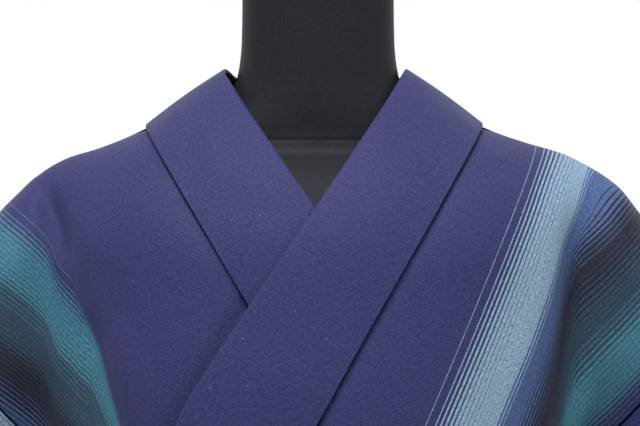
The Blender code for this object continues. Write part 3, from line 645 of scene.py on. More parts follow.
def body_panel(name, side):
    front_rows = rows_between(0, LAST_ROW, FRONT_STEP)[::-1]
    back_rows = rows_between(0, LAST_ROW, BACK_STEP)[1:]
    inner, outer = front_edges(front_rows)
    u_front = columns_across(inner, outer, BODY_COLUMNS)
    front = panel_point(side, u_front, front_rows[:, None], "front")
    roll_front = rolled(u_front, inner, outer, 2 * EDGE_REACH)
    inner, outer = back_edges(back_rows)
    u_back = columns_across(inner, outer, BODY_COLUMNS)
    share = (u_back - inner[:, None]) / (outer - inner)[:, None]
    back = panel_point(side, u_back, back_rows[:, None], "back", back_levels(back_rows, share))
    roll_back = rolled(u_back, inner, outer)
    points = np.concatenate([front, back])
    heights = np.concatenate([
        crease_heights(front, "front") + roll_front,
        crease_heights(back, "back") + roll_back,
    ])
    width = front_width(side, u_front, front)
    u = np.concatenate([width, back_width(u_back, back, u_front[-1], width[-1])])
    length = cloth_lengths(points)
    points = points + normals_of(points, TORSO_CENTRE) * heights[..., None]
    uv = np.stack([u, np.broadcast_to(length[:, None], u.shape)], axis=-1)
    print(name, "cloth length, mm:", round(1000 * length[-1]), "grid:", points.shape[:2])
    return sheet_object(name, points, uv, TORSO_CENTRE)


body = {side: body_panel(f"{word}_body_panel", side) for word, side in (("left", 1), ("right", -1))}

# %% [markdown]
# ## Overlap panels
#
# A half-width panel is sewn to each front so that the fronts wrap well past
# each other. It starts as a point at the collar above the sash and runs on to
# the hem, where its free edge is the kimono's front edge.

# %% The two overlap panels
OVERLAP_EDGE = -0.090
FOLD_SET_BACK = 0.012
OVERLAP_TIP_SHARE = 0.764


def overlap_edge(row):
    """The free edge of an overlap panel, or the collar's seam above the waist fold."""
    start = collar_seam(float(FOLD_ROW)) + FOLD_SET_BACK
    free = start + (OVERLAP_EDGE - start) * ease((row - FOLD_ROW - 3) / 3.0)
    blend = np.clip(row - FOLD_ROW, 0.0, 1.0)
    return collar_seam(np.minimum(row, FOLD_ROW)) * (1.0 - blend) + free * blend


def overlap_panel(name, side):
    tip = float(np.interp(OVERLAP_TIP_SHARE, UPPER_SHARES, range(WAIST_ROW + 1)))
    rows = rows_between(tip, LAST_ROW, BACK_STEP)
    inner = overlap_edge(rows) + SEAM_GAP * 2
    outer = np.full(rows.shape, OVERLAP_SEAM - SEAM_GAP)
    u = columns_across(inner, outer, OVERLAP_COLUMNS)
    points = panel_point(side, u, rows[:, None], "front")
    heights = crease_heights(points, "front") + rolled(u, inner, outer)
    length = cloth_lengths(points)
    points = points + normals_of(points, TORSO_CENTRE) * heights[..., None]
    uv = np.stack([u, np.broadcast_to(length[:, None], u.shape)], axis=-1)
    print(name, "cloth length, mm:", round(1000 * length[-1]))
    return sheet_object(name, points, uv, TORSO_CENTRE)


overlap = {side: overlap_panel(f"{word}_overlap_panel", side) for word, side in (("left", 1), ("right", -1))}

# %% [markdown]
# ## Collar
#
# The collar is one long strip, folded lengthwise to half its width, with its
# fold at the neck. It runs from one front edge round the back of the neck to
# the other, left over right. Its two layers and stiffening make it thicker
# than the body cloth, so it stands a little proud along its seam.

# %% Collar sizes
COLLAR_THICK = 0.0030
COLLAR_PROUD = 0.0022
COLLAR_CROWN = 0.0010
COLLAR_WIDTH = smooth((0, 3, 6.5, 10, 13, 21), (0.063, 0.0625, 0.0650, 0.0712, 0.0780, 0.080))
BACK_NECK_STEPS = (0.088, 0.066, 0.044, 0.022, 0.0)
BACK_TOP = {"half_width": 0.0605, "depth": 0.088, "z_side": 1.379, "z_back": 1.368}
COLLAR_SHARES = np.linspace(0.0, 1.0, 9)
COLLAR_CLIMB = {"row": (0, NECK_ROWS), "degrees": (37.0, 30.0)}
COLLAR_GRID = (300, 17)


def collar_front_station(side, row):
    """Points across the collar from its seam to its fold, beside one row of the front."""
    reach = float(COLLAR_WIDTH(row)) * COLLAR_SHARES
    u = float(collar_seam(float(row))) - SEAM_GAP / 2
    seam = panel_point(side, u, float(row), "front")
    climb = math.radians(float(np.interp(row, *COLLAR_CLIMB.values())))
    x = side * seam[0] - reach * math.cos(climb)
    z = seam[2] + reach * math.sin(climb)
    over = CHEST_OVER if side == 1 else 0.0
    depth = depth_at(side, np.abs(x), z, "front", over * ease((OVER_FROM_Z - z) / OVER_FADE))
    settle = 1.0 - float(upper_share(row)) if row <= WAIST_ROW else 0.0
    high = np.stack([x * side, RIDGE_Y * settle - depth, z], axis=-1)
    fade = float(ease((WAIST_Z + 0.05 - seam[2]) / 0.05))
    if not fade:
        return high
    lean = COLLAR_LEAN_ANGLE * float(ease((seam[2] - LOWER_ROWS["z"][7]) / 0.05))
    low_z = seam[2] + reach * math.sin(lean)
    levels = [-z for z in LOWER_ROWS["z"][:8]]
    out = np.interp(-low_z, levels, LOWER_ROWS["fold"][:8])
    if side == 1:
        out = out + np.interp(-low_z, levels, LOWER_ROWS["over"][:8])
    x, y = ring_point(u - FRONT_CENTRE - reach * math.cos(lean), low_z, out)
    low = np.stack([x * side, y, low_z], axis=-1)
    return high + (low - high) * fade


def collar_back_station(side, step):
    """Points across the collar from the back neckline to its standing fold."""
    u = BACK_NECK_STEPS[step]
    turn = math.pi / 2 * (1.0 - u / NECK_CUT)
    inner_x = (SHOULDER[side]["x"][2] if step < 1 else BACK_TOP["half_width"]) * math.cos(turn)
    fold = np.array((
        inner_x * side,
        RIDGE_Y + (BACK_TOP["depth"] - RIDGE_Y) * math.sin(turn),
        BACK_TOP["z_side"] + (BACK_TOP["z_back"] - BACK_TOP["z_side"]) * math.sin(turn),
    ))
    seam = upper_point(side, np.array(u), np.array(0.0), "back" if step else "front")
    seam = seam + unit(fold - seam) * 0.0018
    return seam + (fold - seam) * COLLAR_SHARES[:, None]


# %% Collar band
def refined(points, along_count, across_count):
    """A finer grid on the smooth surface through a coarse one."""
    steps = np.linalg.norm(np.diff(points[:, 4], axis=0), axis=1)
    place = np.append(0.0, np.cumsum(steps))
    at = np.linspace(0.0, place[-1], along_count)
    columns = [[smooth(place, points[:, j, k])(at) for k in range(3)] for j in range(points.shape[1])]
    finer = np.array(columns).transpose(2, 0, 1)
    shares = np.linspace(0.0, 1.0, across_count)
    rows = [[smooth(COLLAR_SHARES, row[:, k])(shares) for k in range(3)] for row in finer]
    return np.array(rows).transpose(0, 2, 1), shares, place[-1]


def collar_band(name):
    """A closed band: its outer face, its round fold, its under face and its seam edge."""
    stations = [collar_front_station(-1, row) for row in range(FOLD_ROW, 0, -1)]
    stations += [collar_back_station(-1, step) for step in range(5)]
    stations += [collar_back_station(1, step) for step in range(3, -1, -1)]
    stations += [collar_front_station(1, row) for row in range(1, FOLD_ROW + 1)]
    middle, shares, length = refined(np.array(stations), *COLLAR_GRID)
    normals = normals_of(middle, np.array((0.0, 0.0, 1.0)))
    inward = unit(np.gradient(middle, axis=1))
    lift = COLLAR_PROUD + COLLAR_CROWN * np.sin(math.pi * shares) - COLLAR_THICK / 2
    middle = middle + normals * lift[None, :, None]
    half = COLLAR_THICK / 2
    outer, under = middle + normals * half, middle - normals * half
    fold = [middle[:, -1] + (normals[:, -1] * math.cos(a) + inward[:, -1] * math.sin(a)) * half
            for a in np.linspace(0, math.pi, 7)[1:-1]]
    seam = [middle[:, 0] + (-normals[:, 0] * math.cos(a) - inward[:, 0] * 0.2 * math.sin(a)) * half
            for a in np.linspace(0, math.pi, 4)[1:-1]]
    ring = np.concatenate([
        outer, np.stack(fold, axis=1), under[:, ::-1], np.stack(seam, axis=1), outer[:, :1],
    ], axis=1)
    across = np.append(0.0, np.cumsum(np.linalg.norm(np.diff(ring[len(ring) // 2], axis=0), axis=1)))
    along = np.linspace(0.0, length, len(ring))
    uv = np.stack(np.broadcast_arrays(across[None, :] - 0.2, along[:, None]), axis=-1)
    print(name, "length, mm:", round(1000 * length), "round, mm:", round(1000 * across[-1]))
    return sheet_object(name, ring, uv, (0, 0, 1), thickness=0.0, closed=True, ends="filled")


collar = collar_band("folded_collar_band")

# %% [markdown]
# ## Sleeves
#
# Each sleeve is one length of cloth folded at the shoulder line and sewn to a
# deep bag. It is sewn to the body over the upper part only; below that its
# inner edge hangs free, and at the wrist only the top half is left open.

# %% Sleeve sizes
SLEEVE_WIDTH = 0.33
SLEEVE_DEPTH = 0.49
TOP_ARCH, FOOT_ARCH = 0.014, 0.012
CUFF_TOP = (0.445, 0.004, 0.938)
CUFF_BOTTOM = (0.398, 0.010, 0.452)
INNER_BOTTOM = (0.212, 0.006, 0.742)
INNER_FREE = {
    "x": (0.1905, 0.1880, 0.1905, 0.1950, 0.2020, 0.2080, 0.2115),
    "z": (1.1150, 1.0850, 1.0500, 0.9900, 0.9100, 0.8200, 0.7550),
    "half": (0.026, 0.024, 0.022, 0.022, 0.022, 0.018, 0.0045),
}
SLEEVE_SWELL = 0.016
CUFF_OPENING = 0.47
CUFF_OPEN_HALF = 0.017
CLOSED_HALF = 0.0022
FOLD_WIDTH = 0.12
SLEEVE_FOLDS = {"at": (0.20, 0.50, 0.78), "lean": (0.10, 0.05, -0.04), "depth": (0.015, -0.018, 0.014)}
SMALL_FOLDS = {
    "at": (0.10, 0.34, 0.41, 0.63, 0.69, 0.90),
    "lean": (0.16, 0.05, 0.12, -0.02, 0.10, -0.08),
    "width": (0.030, 0.022, 0.028, 0.020, 0.030, 0.024),
    "from": (0.10, 0.30, 0.45, 0.20, 0.55, 0.40),
    "depth": (-0.0030, 0.0028, -0.0024, 0.0022, -0.0030, 0.0024),
}


def sleeve_edge(side, face):
    """The sleeve's inner edge on one face: sewn to the body, then hanging free."""
    edges = front_edges if face == "front" else back_edges
    rows = np.linspace(0.0, 10.0, 31)
    outer = edges(rows)[1]
    at = panel_point(side, outer, rows, face)
    beside = panel_point(side, outer - 0.004, rows, face)
    gap = SEAM_GAP * np.where(rows < 8, 1.2, 2.5)[:, None]
    sign = -1.0 if face == "front" else 1.0
    free = [(x * side, INNER_BOTTOM[1] + sign * half, z) for x, z, half in zip(*INNER_FREE.values())]
    corner = (INNER_BOTTOM[0] * side, *INNER_BOTTOM[1:])
    return np.concatenate([at + unit(at - beside) * gap, free, [corner]])


# %% The two sleeves
def sleeve(name, side):
    flip = np.array((side, 1.0, 1.0))
    top_out, low_out, low_in = (np.array(p) * flip for p in (CUFF_TOP, CUFF_BOTTOM, INNER_BOTTOM))
    along = np.linspace(0.0, 1.0, 64)[:, None]
    faces = {}
    for face, sign in (("front", -1.0), ("back", 1.0)):
        inner = sleeve_edge(side, face)
        place = np.append(0.0, np.cumsum(np.linalg.norm(np.diff(inner, axis=0), axis=1)))
        d = np.linspace(0.0, 1.0, 100)[None, :]
        start = np.stack([smooth(place / place[-1], inner[:, k])(d[0]) for k in range(3)], axis=-1)
        arch = np.sin(math.pi * along)
        top = inner[0] + (top_out - inner[0]) * along + np.array((0, 0, TOP_ARCH)) * arch
        foot = low_in + (low_out - low_in) * along - np.array((0, 0, FOOT_ARCH)) * arch
        end = top_out + (low_out - top_out) * d[0][:, None]
        a, b = along[..., None], d[..., None]
        points = (1 - b) * top[:, None] + b * foot[:, None] + (1 - a) * start[None] + a * end[None]
        points -= (1 - a) * ((1 - b) * inner[0] + b * low_in) + a * ((1 - b) * top_out + b * low_out)
        swell = SLEEVE_SWELL * np.sin(math.pi * d) ** 0.6 * arch
        opening = CUFF_OPEN_HALF * np.sin(math.pi * np.minimum(1.0, d / CUFF_OPENING)) ** 0.7
        closed = CLOSED_HALF * ease(np.minimum(d, 1.0 - d) / 0.012)
        cuff = np.maximum(np.where(d < CUFF_OPENING, opening, 0.0), closed)
        points[..., 1] += sign * (swell + cuff * ease((along - 0.15) / 0.85))
        loose = ease(along / 0.25) * ease(d / 0.25)
        for at, lean, deep in zip(*SLEEVE_FOLDS.values()):
            points[..., 1] += deep * loose * np.exp(-(((along - at - lean * (d - 0.5)) / FOLD_WIDTH) ** 2))
        for at, lean, width, start_d, deep in zip(*SMALL_FOLDS.values()):
            away = (along - at - lean * (d - 0.5)) / width
            ends = ease((d - start_d) / 0.3) * ease((1 - d) / 0.1)
            points[..., 1] += deep * loose * ends * np.exp(-away ** 2)
        faces[face] = points
    ring = np.concatenate([faces["front"], faces["back"][:, -2::-1]], axis=1)
    ring[:, -1] = ring[:, 0]
    down = np.concatenate([d[0], 2.0 - d[0][-2::-1]]) * SLEEVE_DEPTH
    u = np.broadcast_to(SLEEVE_SEAM + SLEEVE_WIDTH * along, ring.shape[:2])
    uv = np.stack([u, np.broadcast_to(down[None, :], u.shape)], axis=-1)
    centre = ring.mean(axis=(0, 1))
    return sheet_object(name, ring, uv, centre, closed=True)


sleeves = {side: sleeve(f"{word}_sleeve", side) for word, side in (("left", 1), ("right", -1))}

# %% [markdown]
# ## Sash
#
# The photo ends above the waist, so the sash is a plain one: a flat band wound
# once round over the fronts. It carries shallow level creases, from being
# drawn tight.

# %% Sash
SASH_Z = (0.984, 1.076)
SASH_THICK = 0.0022
SASH_CLEAR = 0.0016
SASH_OVER = {"left_end": 0.218, "left_fade": 0.034, "right_end": -0.225, "right_fade": 0.050}
SASH_CREASES = {
    "from": (-0.44, -0.15, 0.06, 0.24, -0.30),
    "to": (-0.20, 0.12, 0.30, 0.45, -0.05),
    "z": (1.030, 1.052, 1.012, 1.040, 1.004),
    "slope": (0.05, -0.04, 0.03, -0.05, 0.02),
    "depth": (-0.0008, -0.0007, -0.0008, -0.0007, 0.0006),
}


def sash_band(name):
    """A closed band round the waist, with rounded edges."""
    cloth = np.linspace(-HALF_ROUND, HALF_ROUND, 241)
    front = ease((SASH_OVER["left_end"] - cloth) / SASH_OVER["left_fade"])
    front = front * ease((cloth - SASH_OVER["right_end"]) / SASH_OVER["right_fade"])
    out = SASH_CLEAR + SASH_THICK + (CHEST_OVER + COLLAR_PROUD + COLLAR_CROWN + SEAM_GAP * 2) * front
    low, high = SASH_Z
    levels = np.linspace(low, high, 25)
    edge = np.minimum(levels - low, high - levels)
    inset = SASH_THICK * 0.5 * (1.0 - np.sqrt(np.clip(edge / 0.002, 0.0, 1.0)))
    rings = []
    for z, drop in zip(levels, inset):
        rise = np.zeros(cloth.shape)
        for start, end, level, slope, deep in zip(*SASH_CREASES.values()):
            ends = ease((cloth - start) / 0.05) * ease((end - cloth) / 0.05)
            rise += deep * ends * np.exp(-(((z - level - slope * (cloth - start)) / 0.0035) ** 2))
        x, y = ring_point(cloth, np.clip(z, 0.988, WAIST_Z) + 0 * cloth, out + rise - drop)
        rings.append(np.stack([x, y, np.full(cloth.shape, z)], axis=-1))
    points = np.array(rings)
    points[:, -1] = points[:, 0]
    uv = np.stack(np.broadcast_arrays(cloth[None, :], levels[:, None]), axis=-1)
    return sheet_object(name, points, uv, (0, 0, 1.03), thickness=SASH_THICK, closed=True)


sash = sash_band("waist_sash")

# %% [markdown]
# ## Dress form
#
# The limbless form is a padded torso with a black stretch cover, sewn from
# panels. The cover's seams run down the middle of the front and back, over
# both breasts and round the base of the neck. Only its neck shows.

# %% Form and cap
FORM = {
    "z": (
        0.700, 0.715, 0.80, 0.90, 1.00, 1.08, 1.14, 1.20, 1.25, 1.290, 1.3072, 1.3179, 1.3251,
        1.3309, 1.3406, 1.3497, 1.361, 1.376, 1.400, 1.430, 1.466,
    ),
    "half_width": (
        0.140, 0.148, 0.156, 0.146, 0.136, 0.139, 0.150, 0.160, 0.165, 0.164, 0.160, 0.152, 0.140,
        0.119, 0.097, 0.077, 0.0620, 0.0540, 0.0512, 0.0508, 0.0515,
    ),
    "front": (
        0.090, 0.097, 0.106, 0.102, 0.099, 0.105, 0.113, 0.105, 0.094, 0.078, 0.0670, 0.0570, 0.0500,
        0.0480, 0.0470, 0.0470, 0.0470, 0.0465, 0.0465, 0.0460, 0.0465,
    ),
    "back": (
        0.098, 0.105, 0.118, 0.106, 0.092, 0.088, 0.091, 0.089, 0.083, 0.072, 0.0640, 0.0550, 0.0500,
        0.0490, 0.0490, 0.0500, 0.0510, 0.0520, 0.0520, 0.0520, 0.0525,
    ),
}
NECK_Y = 0.004
NECK_SEAM_Z = 1.3325
SEAM_DEPTH = 0.0006


def form_body(name):
    row = np.arange(len(FORM["z"]))
    at = np.linspace(0, row[-1], 20 * 8 + 1)
    z, half, front, back = (smooth(row, FORM[key])(at) for key in FORM)
    angles = np.linspace(0.0, 2.0 * math.pi, 161)
    degrees = np.degrees(angles)
    grooves = sum(np.exp(-(((degrees - seam) / 0.9) ** 2)) for seam in (0, 34, 146, 180, 214, 326, 360))
    rings = []
    for level, h, f, b in zip(z, half, front, back):
        neck_seam = math.exp(-(((level - NECK_SEAM_Z) / 0.0009) ** 2))
        inward = SEAM_DEPTH * np.maximum(grooves * (level < NECK_SEAM_Z), neck_seam)
        x, y = oval(angles, h - inward, f - inward, b - inward)
        middle = NECK_Y * float(ease((level - 1.20) / 0.15))
        rings.append(np.stack([x, y + middle, np.full(x.shape, level)], axis=-1))
    points = np.array(rings)
    points[:, -1] = points[:, 0]
    uv = np.stack(np.broadcast_arrays(angles[None, :] * 0.15, z[:, None]), axis=-1)
    return sheet_object(name, points, uv, (0, 0, 1), thickness=0.0, closed=True, ends="filled")


form = form_body("padded_form_body")

# %% [markdown]
# The neck ends in a flat cap, cut from board and covered in the same cloth.

# %% Neck cap
CAP_HEIGHT = 0.012
cap_low = FORM["z"][-1] + SEAM_GAP


def neck_cap(name):
    profile = ((0.0, 0.0), (0.0, CAP_HEIGHT - 0.003), (0.0008, CAP_HEIGHT - 0.0012), (0.003, CAP_HEIGHT))
    angles = np.linspace(0.0, 2.0 * math.pi, 161)
    rings = []
    for inset, rise in profile:
        x, y = oval(angles, *(FORM[key][-1] - inset for key in ("half_width", "front", "back")))
        rings.append(np.stack([x, y + NECK_Y, np.full(x.shape, cap_low + rise)], axis=-1))
    points = np.array(rings)
    points[:, -1] = points[:, 0]
    uv = points[..., :2]
    return sheet_object(name, points, uv, (0, 0, 1.47), thickness=0.0, closed=True, ends="filled")


cap = neck_cap("covered_neck_cap")

# %% [markdown]
# ## Stand
#
# A steel tube holds the form over a heavy round plate. The plate is cut from
# sheet and its upper edge is rounded; the tube is welded to a flange, and a
# short socket takes the form. All of it is powder coated.


# %% Stand
def turned(name, profile, sides=96):
    """Spins a profile of radius and height once round the Z axis."""
    mesh = bmesh.new()
    points = [mesh.verts.new((radius, 0.0, z)) for radius, z in profile]
    edges = [mesh.edges.new(pair) for pair in zip(points, points[1:])]
    bmesh.ops.spin(
        mesh, geom=points + edges, cent=(0, 0, 0), axis=(0, 0, 1), angle=2 * math.pi,
        steps=sides, use_merge=True,
    )
    bmesh.ops.remove_doubles(mesh, verts=mesh.verts[:], dist=1e-6)
    bmesh.ops.recalc_face_normals(mesh, faces=mesh.faces[:])
    return link_mesh(name, mesh, 35.0)


BASE_RADIUS, BASE_THICK = 0.150, 0.012
base = turned("round_base_plate", (
    (0.0, 0.0), (BASE_RADIUS - 0.001, 0.0), (BASE_RADIUS, 0.001), (BASE_RADIUS, BASE_THICK - 0.003),
    (BASE_RADIUS - 0.0009, BASE_THICK - 0.0009), (BASE_RADIUS - 0.003, BASE_THICK), (0.0, BASE_THICK),
))
foot, flange, tube, socket = BASE_THICK + SEAM_GAP, 0.045, 0.0125, 0.024
top = FORM["z"][0]
pole = turned("stand_tube", (
    (0.0, foot), (flange, foot), (flange, foot + 0.0085), (flange - 0.0015, foot + 0.0097),
    (tube + 0.0015, foot + 0.0112), (tube, foot + 0.0137), (tube, top - 0.030),
    (socket - 0.001, top - 0.029), (socket, top - 0.0275), (socket, top - SEAM_GAP), (0.0, top - SEAM_GAP),
))

# %% [markdown]
# ## Colours and nodes
#
# Colours are written as they look on a screen and turned into the linear
# values that the renderer works in. One small function adds a node, sets it
# up and links it.


# %% Node helper
def linear(code):
    """A colour such as #3d3c74 as linear RGBA."""
    parts = [int(code[k:k + 2], 16) / 255.0 for k in (1, 3, 5)]
    return (*(p / 12.92 if p <= 0.04045 else ((p + 0.055) / 1.055) ** 2.4 for p in parts), 1.0)


def new_material(name):
    material = bpy.data.materials.new(name)
    material.use_nodes = True
    return material, material.node_tree, material.node_tree.nodes["Principled BSDF"]


def add(tree, kind, settings=None, **links):
    """Adds a node. settings are its properties; a link is a value or another node's socket."""
    node = tree.nodes.new(kind)
    for key, value in (settings or {}).items():
        setattr(node, key, value)
    for key, value in links.items():
        socket = node.inputs[int(key[1:])] if key[1:].isdigit() else node.inputs[key.replace("_", " ")]
        if isinstance(value, bpy.types.NodeSocket):
            tree.links.new(value, socket)
        else:
            socket.default_value = value
    return node


def maths(tree, operation, a, b=0.0):
    return add(tree, "ShaderNodeMath", {"operation": operation}, _0=a, _1=b).outputs[0]


def ramp(tree, factor, stops, interpolation="LINEAR"):
    """A colour ramp. stops are (place, linear colour)."""
    node = add(tree, "ShaderNodeValToRGB", _0=factor)
    node.color_ramp.interpolation = interpolation
    elements = node.color_ramp.elements
    while len(elements) < len(stops):
        elements.new(1.0)
    for element, (place, colour) in zip(elements, stops):
        element.position, element.color = place, colour
    return node.outputs["Color"]


# %% [markdown]
# ## Gradated stripes
#
# The stripes are woven from dyed warp threads. A new colour starts as single
# hairlines on the old one, and each line is wider than the last until the new
# colour is full; hairlines of a darker yarn then stay on it. Each table row
# gives the line, counted across the cloth, where a run starts, its ground and
# line colours, and the share of the pitch that its lines cover at its start
# and at its end.

# %% Stripe tables
PALETTE = {
    "navy": "#24254d", "light": "#677e90", "mid": "#35476d",
    "black": "#151626", "slate": "#1f303f", "teal": "#2c5868",
}
STRIPES = {
    "left_body": (
        (0, "navy", "navy", 0.00, 0.00), (44, "navy", "light", 0.14, 0.14),
        (45, "navy", "navy", 0.00, 0.00), (46, "navy", "light", 0.17, 0.86),
        (51, "navy", "light", 0.86, 0.90), (54, "mid", "light", 0.94, 0.95),
        (59, "mid", "light", 0.60, 0.12), (62, "mid", "mid", 0.12, 0.92),
        (64, "black", "mid", 0.92, 0.16), (70, "black", "mid", 0.16, 0.13),
        (72, "black", "black", 0.13, 0.12), (73, "black", "slate", 0.12, 0.26),
        (75, "black", "slate", 0.26, 0.85), (79, "black", "slate", 0.85, 0.93),
        (83, "slate", "teal", 0.15, 0.20), (85, "slate", "teal", 0.20, 0.86),
        (88, "slate", "teal", 0.86, 0.92), (94, "navy", "teal", 0.92, 0.22),
        (98, "navy", "teal", 0.16, 0.12), (101, "navy", "navy", 0.00, 0.00),
    ),
    "right_body": (
        (0, "navy", "navy", 0.00, 0.00), (70, "navy", "teal", 0.14, 0.14),
        (71, "navy", "navy", 0.00, 0.00), (72, "navy", "teal", 0.16, 0.86),
        (76, "navy", "teal", 0.86, 0.92), (80, "black", "teal", 0.92, 0.86),
        (83, "slate", "teal", 0.82, 0.46), (86, "slate", "teal", 0.17, 0.12),
        (90, "black", "slate", 0.93, 0.85), (94, "black", "slate", 0.85, 0.20),
        (98, "black", "slate", 0.15, 0.10), (103, "black", "mid", 0.12, 0.26),
        (106, "black", "mid", 0.26, 0.86), (109, "black", "mid", 0.86, 0.92),
        (114, "mid", "light", 0.12, 0.80),
    ),
    "left_sleeve": (
        (0, "navy", "navy", 0.00, 0.00), (148, "navy", "teal", 0.14, 0.14),
        (149, "navy", "navy", 0.00, 0.00), (150, "navy", "teal", 0.16, 0.86),
        (155, "black", "teal", 0.90, 0.86), (161, "slate", "teal", 0.84, 0.16),
        (165, "black", "slate", 0.92, 0.85), (169, "black", "slate", 0.85, 0.14),
        (174, "black", "mid", 0.14, 0.86), (179, "black", "mid", 0.88, 0.92),
        (184, "mid", "light", 0.12, 0.80), (189, "navy", "light", 0.92, 0.86),
        (196, "navy", "light", 0.80, 0.14), (201, "navy", "navy", 0.00, 0.00),
    ),
    "right_sleeve": (
        (0, "mid", "light", 0.80, 0.86), (114, "navy", "light", 0.92, 0.86),
        (120, "navy", "light", 0.80, 0.14), (125, "navy", "navy", 0.00, 0.00),
        (162, "navy", "light", 0.14, 0.86), (168, "navy", "light", 0.86, 0.92),
        (175, "mid", "light", 0.60, 0.12), (179, "black", "mid", 0.92, 0.16),
        (186, "black", "slate", 0.12, 0.85), (192, "black", "slate", 0.86, 0.93),
        (197, "slate", "teal", 0.15, 0.86), (202, "black", "teal", 0.86, 0.92),
        (208, "navy", "teal", 0.90, 0.14), (213, "navy", "navy", 0.00, 0.00),
    ),
}
COUNTED = 110
JUST_BEFORE = 0.0001


def stripe_colour(tree, u, rows):
    """The woven colour at a distance u across the cloth.

    The ramps span COUNTED lines only, so that their steps stay exact.
    """
    counted = maths(tree, "MULTIPLY", u, 1.0 / PITCH)
    line = maths(tree, "FLOOR", counted)
    within = maths(tree, "FRACT", counted)
    before = rows[1][0] - 4
    middle = maths(tree, "MULTIPLY", maths(tree, "ADD", line, 0.5 - before), 1.0 / COUNTED)
    starts = [max(0, row[0] - before) / COUNTED for row in rows]
    ground = ramp(tree, middle, [(s, linear(PALETTE[r[1]])) for s, r in zip(starts, rows)], "CONSTANT")
    lines = ramp(tree, middle, [(s, linear(PALETTE[r[2]])) for s, r in zip(starts, rows)], "CONSTANT")
    covers = []
    for row, start, nearby, end in zip(rows, starts, (*rows[1:], rows[-1]), (*starts[1:], 1.0)):
        covers.append((start, (row[3],) * 3 + (1.0,)))
        if row[4] != nearby[3]:
            covers.append((end - JUST_BEFORE, (row[4],) * 3 + (1.0,)))
    cover = ramp(tree, middle, covers)
    on_line = maths(tree, "LESS_THAN", within, cover)
    mix = add(tree, "ShaderNodeMix", {"data_type": "RGBA"}, _0=on_line, _6=ground, _7=lines)
    return mix.outputs[2]


# %% [markdown]
# ## Woven cloth
#
# The cloth is a plain-weave silk with slightly uneven yarns, dyed before it was
# woven. Real ribs are about half a millimetre apart, too fine to show, so they
# are drawn 1.1 mm apart. A few pale slubs lie along the weft. A weak sheen
# brings up the edges of the folds, as fine silk does.

# %% Cloth material
RIB = 0.0011
WARP_LENGTH, WEFT_LENGTH = 0.0030, 0.0022
THREAD_UNEVEN = 1.19
FLECK_APART = (0.006, 0.004)
FLECK_SIZE, FLECK_RARE, FLECK_SHOWS = 0.10, 0.90, 0.13


def cloth_grid(tree, u, v, across, along):
    """The place on the cloth, counted in cells of a real size."""
    x, y = (maths(tree, "MULTIPLY", value, 1.0 / size) for value, size in ((u, across), (v, along)))
    return add(tree, "ShaderNodeCombineXYZ", X=x, Y=y).outputs[0]


def yarn_noise(tree, cells):
    return add(tree, "ShaderNodeTexNoise", Vector=cells, Scale=1.0, Detail=2.0).outputs["Fac"]


def woven_cloth(name, rows=None, plain=None):
    material, tree, shader = new_material(name)
    place = add(tree, "ShaderNodeUVMap", {"uv_map": "cloth"}).outputs["UV"]
    split = add(tree, "ShaderNodeSeparateXYZ", _0=place)
    u, v = split.outputs["X"], split.outputs["Y"]
    colour = stripe_colour(tree, u, rows) if rows else add(tree, "ShaderNodeRGB").outputs[0]
    if not rows:
        colour.default_value = linear(plain)
    # Warp yarns: streaks along the cloth, one rib wide
    warp = yarn_noise(tree, cloth_grid(tree, u, v, RIB, WARP_LENGTH))
    # Weft yarns: shorter streaks across it
    weft = yarn_noise(tree, cloth_grid(tree, u, v, WEFT_LENGTH, RIB))
    yarns = maths(tree, "ADD", warp, weft)
    # Yarn dyed unevenly: a little lighter and darker from thread to thread
    swing = maths(tree, "MULTIPLY", maths(tree, "SUBTRACT", yarns, 1.0), THREAD_UNEVEN)
    shade = maths(tree, "ADD", swing, 1.0)
    varied = add(tree, "ShaderNodeVectorMath", {"operation": "SCALE"}, _0=colour, Scale=shade).outputs[0]
    # Slubs: sparse pale flecks
    fleck = add(tree, "ShaderNodeTexVoronoi", Vector=cloth_grid(tree, u, v, *FLECK_APART), Scale=1.0)
    chance = add(tree, "ShaderNodeSeparateXYZ", _0=fleck.outputs["Color"]).outputs[0]
    small = maths(tree, "LESS_THAN", fleck.outputs["Distance"], FLECK_SIZE)
    rare = maths(tree, "GREATER_THAN", chance, FLECK_RARE)
    slub = maths(tree, "MULTIPLY", maths(tree, "MULTIPLY", small, rare), FLECK_SHOWS)
    mixed = add(tree, "ShaderNodeMix", {"data_type": "RGBA"}, _0=slub, _6=varied, _7=linear("#a7a3b4"))
    tree.links.new(mixed.outputs[2], shader.inputs["Base Color"])
    bump = add(tree, "ShaderNodeBump", Height=yarns, Strength=0.55, Distance=0.0006)
    tree.links.new(bump.outputs[0], shader.inputs["Normal"])
    # Matt, with the weak gloss of silk
    shader.inputs["Roughness"].default_value = 0.62
    shader.inputs["Specular IOR Level"].default_value = 0.14
    # Fibre ends catch light at grazing angles
    shader.inputs["Sheen Weight"].default_value = 0.05
    shader.inputs["Sheen Roughness"].default_value = 0.45
    return material


striped = {key: woven_cloth(f"yarn_dyed_plain_weave_silk_{key}", rows) for key, rows in STRIPES.items()}
navy = woven_cloth("piece_of_plain_navy_woven_silk", plain=PALETTE["navy"])
sash_cloth = woven_cloth("close_woven_sash_silk", plain="#232447")

for side, word in ((1, "left"), (-1, "right")):
    body[side].data.materials.append(striped[f"{word}_body"])
    sleeves[side].data.materials.append(striped[f"{word}_sleeve"])
    overlap[side].data.materials.append(navy)
collar.data.materials.append(navy)
sash.data.materials.append(sash_cloth)

# %% [markdown]
# ## Form cover and stand finish
#
# The form wears a fine black knit, stretched smooth, with a dull sheen. The
# stand is steel with a satin black powder coat, which has a faint orange peel.


